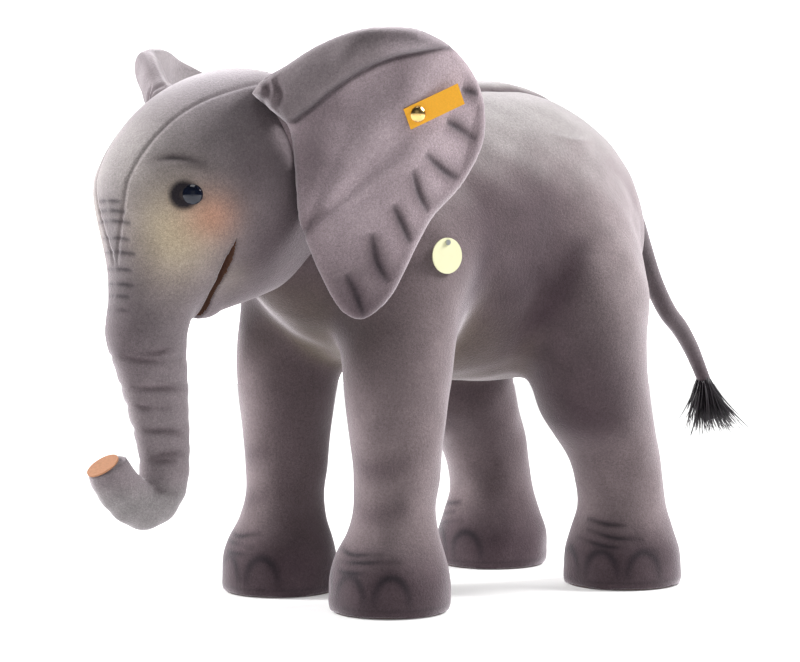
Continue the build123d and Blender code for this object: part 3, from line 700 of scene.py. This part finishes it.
def gusset_half_width(turn):
    """Half width of the forehead strip by its angle round the head's middle: 0 is ahead, 90 the crown."""
    return ease(turn, (-48, -41, -10, 30, 84, 120, 160), (0, 0, 17, 28, 40, 36, 26))


def head_turn(spots):
    """Angle of each spot round the head's middle, 0 ahead and 90 at the crown."""
    return np.degrees(np.arctan2(spots[:, 2] - head_centre[2], head_centre[1] - spots[:, 1]))


mouth_line = curve([(60.5, -252, 279), (52, -255, 267), (33, -254, 251), (15, -251, 235), (0, -252, 222)], 24)
brow_line = curve([(24, -308, 327), (33, -303, 334), (46, -294, 337), (62, -279, 334)], 16)
brow_low = brow_line - np.array((0, 0, 7.5))
eye_tail = curve([(37, -303, 304), (42, -301, 304.5), (47, -297, 306)], 8)
eye_lash = curve([(55, -286, 309), (61, -283, 308.5), (66, -277, 310.5), (71, -270, 314)], 10)
normals = point_normals(points, quads)
points = fold(points, normals, band_lines, 1.4, 0.8)
points = fold(points, normals, wrinkle_lines, 2.4, 1.5)
points = fold(points, normals, [brow_line], 3.4, 1.6)
points = fold(points, normals, [brow_low], 5.0, -1.6)
edge = np.abs(np.abs(points[:, 0]) - gusset_half_width(head_turn(points)))
seam_here = (points[:, 2] > strip_low_z) & (gusset_half_width(head_turn(points)) > 1)
points = points - normals * (np.where(seam_here, dent(edge, 1.7, 0.9), 0))[:, None]
normals = point_normals(points, quads)
brow_grey = (0.40, 0.37, 0.36)
crown_grey = (0.28, 0.255, 0.27)
cheek_cream = (0.52, 0.43, 0.29)
blush = (0.55, 0.27, 0.17)
chin_cream = (0.50, 0.44, 0.33)
trunk_dusk = (0.09, 0.085, 0.085)
tip_grey = (0.22, 0.21, 0.21)
# tones of brow, crown, cheek, blush and chin, a darker band down the trunk's front, and plum_brown clouds of painted
# shade behind the cheek and round the ear's root
face_dye_and_shade_clouds = [
    (brow_grey, 0.75, (10, -312, 340), (40, 60, 45)), (crown_grey, 0.7, (20, -240, 400), (60, 60, 30)),
    (cheek_cream, 0.8, (44, -296, 284), (26, 30, 34)), (blush, 0.65, (60, -275, 296), (18, 20, 18)),
    (chin_cream, 0.35, (45, -240, 250), (24, 14, 14)), (plum_brown, 0.85, (74, -200, 300), (34, 30, 70)),
    (plum_brown, 0.45, (70, -245, 330), (22, 22, 26)), (trunk_dusk, 0.55, (0, -316, 262), (16, 40, 60)),
    (plum_brown, 0.5, (60, -225, 375), (22, 26, 24)),
]
# painted shade under the jaw; the last cloud darkens the trunk's front below the mouth
jaw_shade_clouds = [
    (plum_brown, 0.70, (74, -222, 268), (34, 30, 40)), (plum_brown, 0.60, (52, -230, 250), (34, 26, 26)),
    (plum_brown, 0.55, (10, -325, 200), (40, 30, 50)),
]


def head_paint(points):
    """Airbrushed dye of the head: pale brow, cream and blush under the eye, stripes down the trunk; painted shade on
    the jaw, behind the cheek and round the ear's root.
    """
    spots = mirrored(points)
    x, y, z = spots.T
    colour = np.tile(np.array((0.225, 0.190, 0.202)), (len(spots), 1))
    colour = cloud_over(colour, spots, face_dye_and_shade_clouds)
    colour = spray(colour, tip_grey, 0.7 * step_up(110 - z, 0, 20))
    colour = cloud_over(colour, spots, jaw_shade_clouds)
    for line in band_lines:
        colour = spray(colour, plum_brown, 0.35 * stroke(spots, line, 3.2))
        colour = spray(colour, soot, 0.9 * stroke(spots, line, 1.3))
    for line in wrinkle_lines:
        colour = spray(colour, plum_brown, 0.55 * stroke(spots, line, 3.2))
    colour = spray(colour, plum_brown, 0.45 * stroke(spots, brow_line, 5))
    colour = spray(colour, soot, 0.75 * stroke(spots, brow_line, 2.0))
    off = np.linalg.norm(spots - eye_spot, axis=1)
    colour = spray(colour, soot, 0.9 * np.exp(-(((off - 9.0) / 2.6) ** 2)) + 0.9 * (off < 9))
    colour = spray(colour, soot, 0.95 * stroke(spots, eye_tail, 1.6))
    colour = spray(colour, soot, 0.95 * stroke(spots, eye_lash, 1.5))
    edge = np.abs(x - gusset_half_width(head_turn(spots)))
    on_top = step_up(z, strip_low_z, 300)
    colour = spray(colour, plum_brown, 0.35 * on_top * np.exp(-((edge / 1.6) ** 2)))
    colour = spray(colour, soot, 0.6 * stroke(spots, mouth_line, 3.2))
    return colour


paint = head_paint(points)
centre = points[quads].mean(1)
spots = np.stack([np.abs(centre[:, 0]), centre[:, 1], centre[:, 2]], 1).astype(np.float32)
shape = [spots[:, k] for k in range(3)]
skull, muzzle, chin = head_forms(*shape)
outer = melt(melt(skull, muzzle, 26), chin, 18)
near_slit = np.abs(spots[:, 1] - slit_centre(spots[:, 2])) < 5
lined = (outer < -1.6) & near_slit & (spots[:, 2] > 215) & (spots[:, 2] < 286)
sunk = torso_field(*shape) < -6
trunk_top_z = 224
trunk_split_z = 165
on_trunk_tube = (spots[:, 2] < trunk_top_z) & (spots[:, 1] < -240)
high_trunk = on_trunk_tube & (spots[:, 2] > trunk_split_z)
low_trunk = on_trunk_tube & ~high_trunk
behind_slit = (spots[:, 1] > slit_centre(spots[:, 2])) & (spots[:, 1] < -215)
lip_below = behind_slit & (chin < muzzle + 2) & (chin < skull + 3) & (spots[:, 2] < 276)
on_strip = (spots[:, 0] < gusset_half_width(head_turn(centre))) & (spots[:, 2] > strip_low_z)
head_parts = {}
free = ~sunk
for name, members in (
    ("trunk_low", low_trunk), ("trunk_high", high_trunk), ("mouth_felt", lined), ("lip_lower", lip_below),
    ("head_strip", on_strip), ("cheek_left", centre[:, 0] > 0), ("cheek_right", centre[:, 0] <= 0),
):
    head_parts[name] = members & free
    free = free & ~members
felt = plush("rust_felt", nap=1400.0, depth=0.0002, sheen=0.15)
rust = (0.12, 0.055, 0.035)
felt_paint = np.tile(np.array(rust), (len(points), 1))
covers = {
    "mouth_felt": ["mouth_lining"], "lip_lower": ["lower_lip"], "head_strip": ["head_gusset", "head_stuffing"],
    "cheek_left": ["head_skin_left", "trunk_base_skin", "trunk_base_stuffing"], "cheek_right": ["head_skin_right"],
    "trunk_high": ["trunk_skin", "trunk_stuffing"], "trunk_low": ["trunk_tip_skin", "trunk_tip_stuffing"],
}
for name, members in head_parts.items():
    bends = name in ("trunk_high", "trunk_low")
    tone, cloth = (felt_paint, felt) if name == "mouth_felt" else (paint, body_plush)
    piece = sew(name, points, quads[members], normals, tone, cloth, not bends)
    if name == "trunk_high":
        y, z = joints["trunk_bend"]["pos_m"][1:]
        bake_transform(piece)
    elif name == "trunk_low":
        y, z = joints["trunk_tip_curl"]["pos_m"][1:]
        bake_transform(piece)
    else:
        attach(piece, "root")
    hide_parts(*covers[name])


# ---- Ears --------------------------------------------------------------------------------------------
# Two flaps of plush front and back, thinly padded, their top edge rolled forward into a thick rim.
# Each is sewn to the head along a slanting seam and gathers into small folds there.
ear_turn = math.radians(50)
ear_over = np.array((math.cos(ear_turn), math.sin(ear_turn), 0))
ear_out = np.array((math.sin(ear_turn), -math.cos(ear_turn), 0))
ear_low_z = 200.0
ear_top_z = 436.0  # the two plans give where the ear's middle runs at these heights, seen from above
ear_low_plan = [(78, -202), (98, -188), (105, -172), (108, -155), (108, -125)]
ear_top_plan = [(50, -239), (99, -217), (137, -193), (159, -158), (160, -92)]
ear_rim = [  # across and height of the outline, clockwise from the front fold
    (-145, 384), (-137, 394), (-120.5, 403), (-104, 413), (-87, 421), (-67, 427), (-49.5, 429), (-32, 428.5),
    (-17.5, 424), (0, 414.5), (14.5, 398), (22, 378.5), (22.8, 357), (17.8, 339.5), (5.3, 318), (-9.5, 302),
    (-17.4, 292), (-28, 272), (-42, 243.5), (-53, 230), (-66, 222), (-78, 226), (-87, 237), (-97, 256.5),
    (-104, 273), (-111, 292), (-113.5, 322), (-115, 343), (-119, 361), (-130, 371), (-145, 384),
]
ear_half = 5.4


def ear_middle(over, high):
    """How far out the middle of the left ear stands, by place across and height."""
    low = np.array([(np.dot((x, y), ear_over[:2]), np.dot((x, y), ear_out[:2])) for x, y in ear_low_plan])
    top = np.array([(np.dot((x, y), ear_over[:2]), np.dot((x, y), ear_out[:2])) for x, y in ear_top_plan])
    out = np.zeros((len(over), len(high)), np.float32)
    for k, z in enumerate(high):
        share = (z - ear_low_z) / (ear_top_z - ear_low_z)
        knots = low + (top - low) * share
        at = ease(over, knots[:, 0], knots[:, 1])
        for end, inner in ((0, 1), (-1, -2)):
            slope = (knots[end, 1] - knots[inner, 1]) / (knots[end, 0] - knots[inner, 0])
            beyond = over < knots[0, 0] if end == 0 else over > knots[-1, 0]
            at = np.where(beyond, knots[end, 1] + 0.6 * slope * (over - knots[end, 0]), at)
        out[:, k] = at
    return out


def inside_rim(over, high, rim):
    """Distance inside the outline, less than zero outside it."""
    u, z = np.meshgrid(over, high, indexing="ij")
    near = np.full(u.shape, 1e9)
    within = np.zeros(u.shape, bool)
    for (u0, z0), (u1, z1) in zip(rim, rim[1:] + rim[:1]):
        run = (u1 - u0, z1 - z0)
        share = np.clip(((u - u0) * run[0] + (z - z0) * run[1]) / (run[0] ** 2 + run[1] ** 2), 0, 1)
        near = np.minimum(near, np.hypot(u - u0 - share * run[0], z - z0 - share * run[1]))
        crosses = ((z0 > z) != (z1 > z)) & (u < u0 + (z - z0) * run[0] / (run[1] + 1e-9))
        within ^= crosses
    return np.where(within, near, -near)


ear_step = 1.0
ear_u = np.arange(-152, 30, ear_step, dtype=np.float32)
ear_z = np.arange(212, 436, ear_step, dtype=np.float32)
ear_n = np.arange(160, 246, ear_step, dtype=np.float32)
middle = ear_middle(ear_u, ear_z)
depth = inside_rim(ear_u, ear_z, [tuple(spot) for spot in curve(ear_rim, 140)[:-1]])
wide, high = np.meshgrid(ear_u, ear_z, indexing="ij")
edge_r = 5.0
edge = np.sqrt(np.clip(edge_r**2 - (edge_r - np.clip(depth, 0, edge_r)) ** 2, 0, None)) / edge_r
outside = np.clip(-depth, 0, None)
roll_line = np.array([  # across and height along the stitched line under the rolled upper rim
    (-147, 385), (-132, 372.5), (-119, 363), (-105, 370.5), (-86, 385), (-67, 397.5), (-48, 406), (-25, 411.5),
    (0, 415), (12, 415),
])
roll_top = np.array([
    (-147, 386), (-137, 394), (-120, 403), (-104, 413), (-87, 421), (-67, 427), (-49, 429), (-32, 428.5),
    (-17, 424), (0, 415.5), (12, 410),
])
roll_rise = 8.0
crease_deep = 2.4
roll_low = ease(wide, *roll_line.T)
roll_high = ease(wide, *roll_top.T)
roll_share = np.clip((high - roll_low) / np.maximum(roll_high - roll_low, 1), 0, 1)
roll_gain = np.clip((roll_high - roll_low) / 16, 0, 1)
roll_lean = 1 / np.hypot(1, np.gradient(roll_low, axis=0))
fan_from = (-111, 280)  # across and height of the corner that the soft pleats fan out from
fan_deep = 2.4
fan = np.degrees(np.arctan2(high - fan_from[1], wide - fan_from[0]))
fan_wave = np.cos(math.pi * (fan - 54) / 11) * step_up(fan, 32, 44) * step_up(84 - fan, 0, 14)
fan_reach = np.clip(np.hypot(high - fan_from[1], wide - fan_from[0]) / 110, 0, 1)
middle = middle + fan_deep * fan_reach * fan_wave
roll = np.clip(np.sin(math.pi * roll_share), 0, 1) ** 0.7 * roll_gain
crease = np.exp(-(((high - roll_low) * roll_lean / 1.8) ** 2))
crease = crease * step_up(wide, -124, -112) * step_up(6 - wide, 0, 10)
face = ear_half * edge + roll_rise * roll - crease_deep * crease
back = ear_half * edge + 1.2 * roll
slope_u, slope_z = np.gradient(middle, ear_step)
lean = np.sqrt(1 + slope_u**2 + slope_z**2)
off = ear_n[None, :, None] - middle[:, None, :]
flap = np.maximum(off - face[:, None, :], -off - back[:, None, :]) / lean[:, None, :]
flap = np.where(outside[:, None, :] > 0, np.hypot(np.maximum(flap, 0), outside[:, None, :]), flap)
hinge = joints["ear_left_flap"]
hinge_way = np.array(hinge["axis"])
hinge_spot = np.array(hinge["pos_m"]) * 1000 - np.array((0, stance_y * 1000, 0))
root_sunk = 9  # how far the sewn root lies under the hinge line, both ways
root_ends = []
for run in (-62, 58):
    end = hinge_spot + hinge_way * run
    root_ends.append((float(end @ ear_over) + root_sunk, float(end @ ear_out) - root_sunk, float(end[2])))
grid = (ear_u[:, None, None], ear_n[None, :, None], ear_z[None, None, :])
flap = melt(flap, taper(*grid, root_ends[0], root_ends[1], 7.5, 6.5), 8)
local, ear_quads = polygonise(flap, (ear_u[0], ear_n[0], ear_z[0]), ear_step)
ear_points = local[:, :1] * ear_over + local[:, 1:2] * ear_out + local[:, 2:] * np.array((0, 0, 1))
ear_points = ear_points.astype(np.float32)
if np.linalg.det(np.stack([ear_over, ear_out, (0, 0, 1)])) < 0:
    ear_quads = ear_quads[:, ::-1]


def ear_at(over, high):
    """Point on the front of the left ear."""
    i = int(np.clip(round((over - ear_u[0]) / ear_step), 0, len(ear_u) - 1))
    k = int(np.clip(round((high - ear_z[0]) / ear_step), 0, len(ear_z) - 1))
    return ear_over * over + ear_out * (middle[i, k] + face[i, k]) + np.array((0, 0, high))


ear_creases = [  # across and height of the points of each airbrushed fold along the rear edge
    [(-21, 340.6), (-6, 328), (4, 323)], [(-29.6, 329), (-24.6, 312), (-18, 299)],
    [(-43.8, 304.7), (-36.7, 290), (-31, 276)], [(-58.8, 284.7), (-55, 264), (-47, 248)],
    [(-77.4, 255.4), (-70, 239.6), (-65, 223)], [(-6, 364), (4, 359), (17, 351)], [(5, 387), (18, 384)],
]
ear_shades = [[(-110, 282), (-104, 292), (-92, 304)]]
ear_folds = [[(-137, 376), (-133, 386), (-134, 396)], [(-127, 371), (-124, 383), (-128, 395)]]
crease_lines = [curve([ear_at(*spot) for spot in line], 12) for line in ear_creases]
fold_lines = [curve([ear_at(*spot) for spot in line], 12) for line in ear_folds + ear_shades]
ear_normals = point_normals(ear_points, ear_quads)
ear_points = fold(ear_points, ear_normals, crease_lines, 2.4, 1.1, both=False)
ear_points = fold(ear_points, ear_normals, fold_lines, 3.5, 2.2, both=False)
ear_normals = point_normals(ear_points, ear_quads)
u, n, z = local.T
rim_depth = depth[
    np.clip(((u - ear_u[0]) / ear_step).astype(int), 0, len(ear_u) - 1),
    np.clip(((z - ear_z[0]) / ear_step).astype(int), 0, len(ear_z) - 1),
]
roll_over = z - ease(u, *roll_line.T)
ear_mauve = (0.345, 0.275, 0.298)
ear_light = (0.42, 0.345, 0.375)
ear_ridge_highlight = (0.46, 0.375, 0.41)
roll_dark = (0.165, 0.140, 0.148)
roll_rear = (0.30, 0.26, 0.28)
ear_back_grey = (0.29, 0.26, 0.27)
# painted shade under the front of the rolled rim, and a painted highlight across the pleats lower down
ear_shade_and_highlight_clouds = [
    (plum_brown, 0.65, (-100, 200, 338), (17, 60, 34)), (plum_brown, 0.40, (-82, 205, 372), (22, 60, 14)),
    (plum_brown, 0.30, (-38, 215, 385), (9, 60, 30)), (ear_ridge_highlight, 0.5, (-75, 205, 305), (26, 60, 26)),
]
on_roll = step_up(roll_over, -1.5, 1.5)
rear_rim = step_up(14 - rim_depth, 0, 12) * step_up(400 - z, 0, 30) * step_up(u, -90, -60)
under_roll_shade = np.exp(-((roll_over / 2.4) ** 2)) * step_up(u, -124, -112) * step_up(-u, -6, 4)
colour = np.tile(np.array(ear_mauve), (len(ear_points), 1))
colour = cloud_over(colour, local, [(ear_light, 0.6, (-60, 215, 365), (50, 60, 50))])
colour = spray(colour, plum_brown, 0.5 * step_up(300 - z, 0, 70))
colour = cloud_over(colour, local, ear_shade_and_highlight_clouds)
colour = spray(colour, plum_brown, 0.40 * rear_rim)
colour = spray(colour, roll_dark, 0.9 * on_roll * step_up(-u, 25, 60))
colour = spray(colour, roll_rear, 0.8 * on_roll * step_up(u, -60, -25) * step_up(-u, -10, 2))
# painted shade in the crease under the rolled rim
colour = spray(colour, soot, 0.55 * under_roll_shade)
for line in crease_lines:
    colour = spray(colour, plum_brown, 0.7 * stroke(ear_points, line, 8))
    colour = spray(colour, soot, 0.85 * stroke(ear_points, line, 2.4))
# painted shade along the gathered folds by the front edge and along the V crease
for line in fold_lines:
    colour = spray(colour, plum_brown, 0.6 * stroke(ear_points, line, 6))
behind = ear_normals @ ear_out < -0.1
colour = np.where(behind[:, None], np.array(ear_back_grey), colour)
across_hinge = np.cross(hinge_way, ear_out)
across_hinge = across_hinge / np.linalg.norm(across_hinge)
if across_hinge @ ear_over < 0:
    across_hinge = -across_hinge
for name, side in (("left", 1), ("right", -1)):
    flip = np.array((side, 1, 1))
    piece = sew(
        f"ear_{name}", ear_points * flip, ear_quads if side > 0 else ear_quads[:, ::-1], ear_normals * flip, colour,
        body_plush, False,
    )
    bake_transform(piece)
    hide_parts(f"ear_root_{name}", f"ear_front_{name}", f"ear_pad_{name}", f"ear_back_{name}")

# ---- Tail --------------------------------------------------------------------------------------------
# A thin stuffed tube of the same plush with a tuft of long dark hair sewn into its end.
# It is sewn on below the end of the back strip and hangs behind the legs.
tail_line = [  # along, height, radius
    (186, 302, 12.5), (199, 301, 10.6), (209, 293, 9.3), (219, 272, 8.7), (229, 250, 8.4), (239, 232, 8.2),
    (252, 214, 8.0), (267, 200, 7.6), (280, 184, 7.0), (290, 168, 6.3), (299, 152, 5.8),
]
tail_rings = curve(tail_line, 40)
tail_step = 1.0
tail_low = (-16, 172, 142)
cells = lattice(tail_low, (16, 310, 318), tail_step)
tube = None
for (y0, z0, r0), (y1, z1, r1) in zip(tail_rings, tail_rings[1:]):
    part = taper(*cells, (0, y0, z0), (0, y1, z1), float(r0), float(r1))
    tube = part if tube is None else np.minimum(tube, part)
tail_points, tail_quads = polygonise(tube, tail_low, tail_step)
tail_normals = point_normals(tail_points, tail_quads)
x, y, z = tail_points.T
tail_taupe = (0.13, 0.11, 0.118)
shade = np.tile(np.array(tail_taupe), (len(tail_points), 1))
shade = spray(shade, plum_brown, 0.75 * step_up(200 - z, 0, 50))
shade = spray(shade, plum_brown, 0.45 * step_up(y, 205, 240) * step_up(z, 150, 240))
piece = sew("tail", tail_points, tail_quads, tail_normals, shade, body_plush, False)
y, z = joints["tail_swing"]["pos_m"][1:]
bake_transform(piece)
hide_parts("tail_root", "tail_skin", "tail_stuffing")


def tube_mesh(name, paths, radii, sides, material):
    """Thin tapered tubes along paths in the frame, as one mesh."""
    build = bmesh.new()
    for path, thick in zip(paths, radii):
        path = [Vector(spot) for spot in path]
        last = len(path) - 1
        rings = []
        for k, spot in enumerate(path):
            way = (path[min(k + 1, last)] - path[max(k - 1, 0)]).normalized()
            first = way.orthogonal().normalized() if k == 0 else (first - way * first.dot(way)).normalized()
            second = way.cross(first)
            r = thick * (1 - (k / last) ** 2 * 0.8)
            rings.append([
                build.verts.new(spot + (first * math.cos(t) + second * math.sin(t)) * r)
                for t in np.linspace(0, 2 * math.pi, sides, endpoint=False)
            ])
        for ring, after in zip(rings, rings[1:]):
            for k in range(sides):
                build.faces.new((ring[k], ring[(k + 1) % sides], after[(k + 1) % sides], after[k]))
        build.faces.new(rings[0][::-1])
        build.faces.new(rings[-1])
    mesh = bpy.data.meshes.new(name)
    build.to_mesh(mesh)
    build.free()
    mesh.polygons.foreach_set("use_smooth", np.ones(len(mesh.polygons), bool))
    mesh.materials.append(material)
    made = bpy.data.objects.new(name, mesh)
    bpy.context.scene.collection.objects.link(made)
    return made


def plain(name, colour, rough=0.5, metal=0.0, grain=0.0, grain_scale=200.0):
    """Smooth material with a little mottle."""
    material = bpy.data.materials.new(name)
    material.use_nodes = True
    nodes = material.node_tree.nodes
    links = material.node_tree.links
    shader = nodes["Principled BSDF"]
    shader.inputs["Base Color"].default_value = (*colour, 1)
    shader.inputs["Roughness"].default_value = rough
    shader.inputs["Metallic"].default_value = metal
    noise = nodes.new("ShaderNodeTexNoise")
    noise.inputs["Scale"].default_value = grain_scale
    place = nodes.new("ShaderNodeTexCoord")
    links.new(place.outputs["Object"], noise.inputs["Vector"])
    mix = nodes.new("ShaderNodeMix")
    mix.data_type = "RGBA"
    mix.inputs["A"].default_value = tuple(c * (1 - grain) for c in colour) + (1,)
    mix.inputs["B"].default_value = tuple(min(1, c * (1 + grain)) for c in colour) + (1,)
    links.new(noise.outputs["Fac"], mix.inputs["Factor"])
    links.new(mix.outputs["Result"], shader.inputs["Base Color"])
    return material


strand_count = 420
strand_long = (30, 58)
strand_r = (0.00045, 0.00085)  # metres, like the frame
tuft_r = 5.2
lean_most = 0.80
hair = plain("tuft_hair", (0.010, 0.006, 0.010), 0.42, grain=0.6, grain_scale=900)
draw = np.random.default_rng(11)
tuft_end = np.array((0, 296, 157.0))
strands = []
thick = []
for _ in range(strand_count):
    turn = draw.uniform(0, 2 * math.pi)
    ring = tuft_r * math.sqrt(draw.uniform(0, 1))
    start = tuft_end + np.array((ring * math.cos(turn), 0.75 * ring * math.sin(turn), 0.35 * ring * math.sin(turn)))
    spread = draw.uniform(0.0, 1.0)
    long = draw.uniform(*strand_long)
    lean_y = min(draw.normal(0.34, 0.26) + 0.25 * math.sin(turn), lean_most)
    lean_x = 0.42 * math.cos(turn) * spread + draw.normal(0, 0.06)
    path = []
    for t in np.linspace(0, 1, 7):
        drop = long * t
        swept = (lean_x * drop * (1 - 0.35 * t), lean_y * drop * (0.7 + 0.35 * t), -drop * (1 - 0.12 * t))
        path.append(start + np.array(swept))
    strands.append(to_frame(np.array(path)))
    thick.append(draw.uniform(*strand_r))
tuft = tube_mesh("tail_hair", strands, thick, 4, hair)
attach(tuft, "tail")
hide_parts("tail_tuft")

# ---- Eyes, button, flag, tag, soles and the frame inside ---------------------------------------------
# Glass eyes on shanks, a domed brass stud that rivets a blank woven flag to the ear, a card tag on a pin.
# The soles are suede over board. A bent steel frame inside is clamped with wood blocks and screwed down.
four_feet = [(pair, side) for pair in ("front", "rear") for side in ("left", "right")]
worn_by = [  # a finish, and the pieces that wear it
    (plain("eye_glass", (0.006, 0.009, 0.022), 0.05), ["eye_left", "eye_right"]),
    (plain("plastic_washer", (0.7, 0.7, 0.68), 0.4), ["eye_washer_left", "eye_washer_right"]),
    (plain("brass", (0.80, 0.56, 0.22), 0.22, 1.0, 0.15), ["ear_button"]),
    (
        plain("steel", (0.52, 0.53, 0.54), 0.35, 1.0, 0.1),
        ["ear_button_washer", "spine_rod", "front_leg_frame", "rear_leg_frame", "frame_screws", "tag_pin"],
    ),
    (plain("yellow_ribbon", (0.90, 0.42, 0.015), 0.7, grain=0.12, grain_scale=900), ["flag_label"]),
    (plain("tag_card", (0.76, 0.75, 0.48), 0.6, grain=0.04), ["chest_tag"]),
    (
        plain("hardboard", (0.25, 0.15, 0.08), 0.8, grain=0.25),
        [f"{pair}_sole_board_{side}" for pair, side in four_feet],
    ),
    (plain("clamp_wood", (0.55, 0.38, 0.20), 0.7, grain=0.2), ["frame_clamps"]),
    (
        plain("sole_suede", (0.115, 0.085, 0.085), 0.95, grain=0.3, grain_scale=500),
        [f"{pair}_sole_pad_{side}" for pair, side in four_feet],
    ),
    (plain("salmon_suede", (0.44, 0.215, 0.12), 0.95, grain=0.25, grain_scale=500), ["nostril_patch"]),
]
for material, nodes in worn_by:
    for node in nodes:
        mesh = frame["nodes"][node].data
        mesh.materials.clear()
        mesh.materials.append(material)
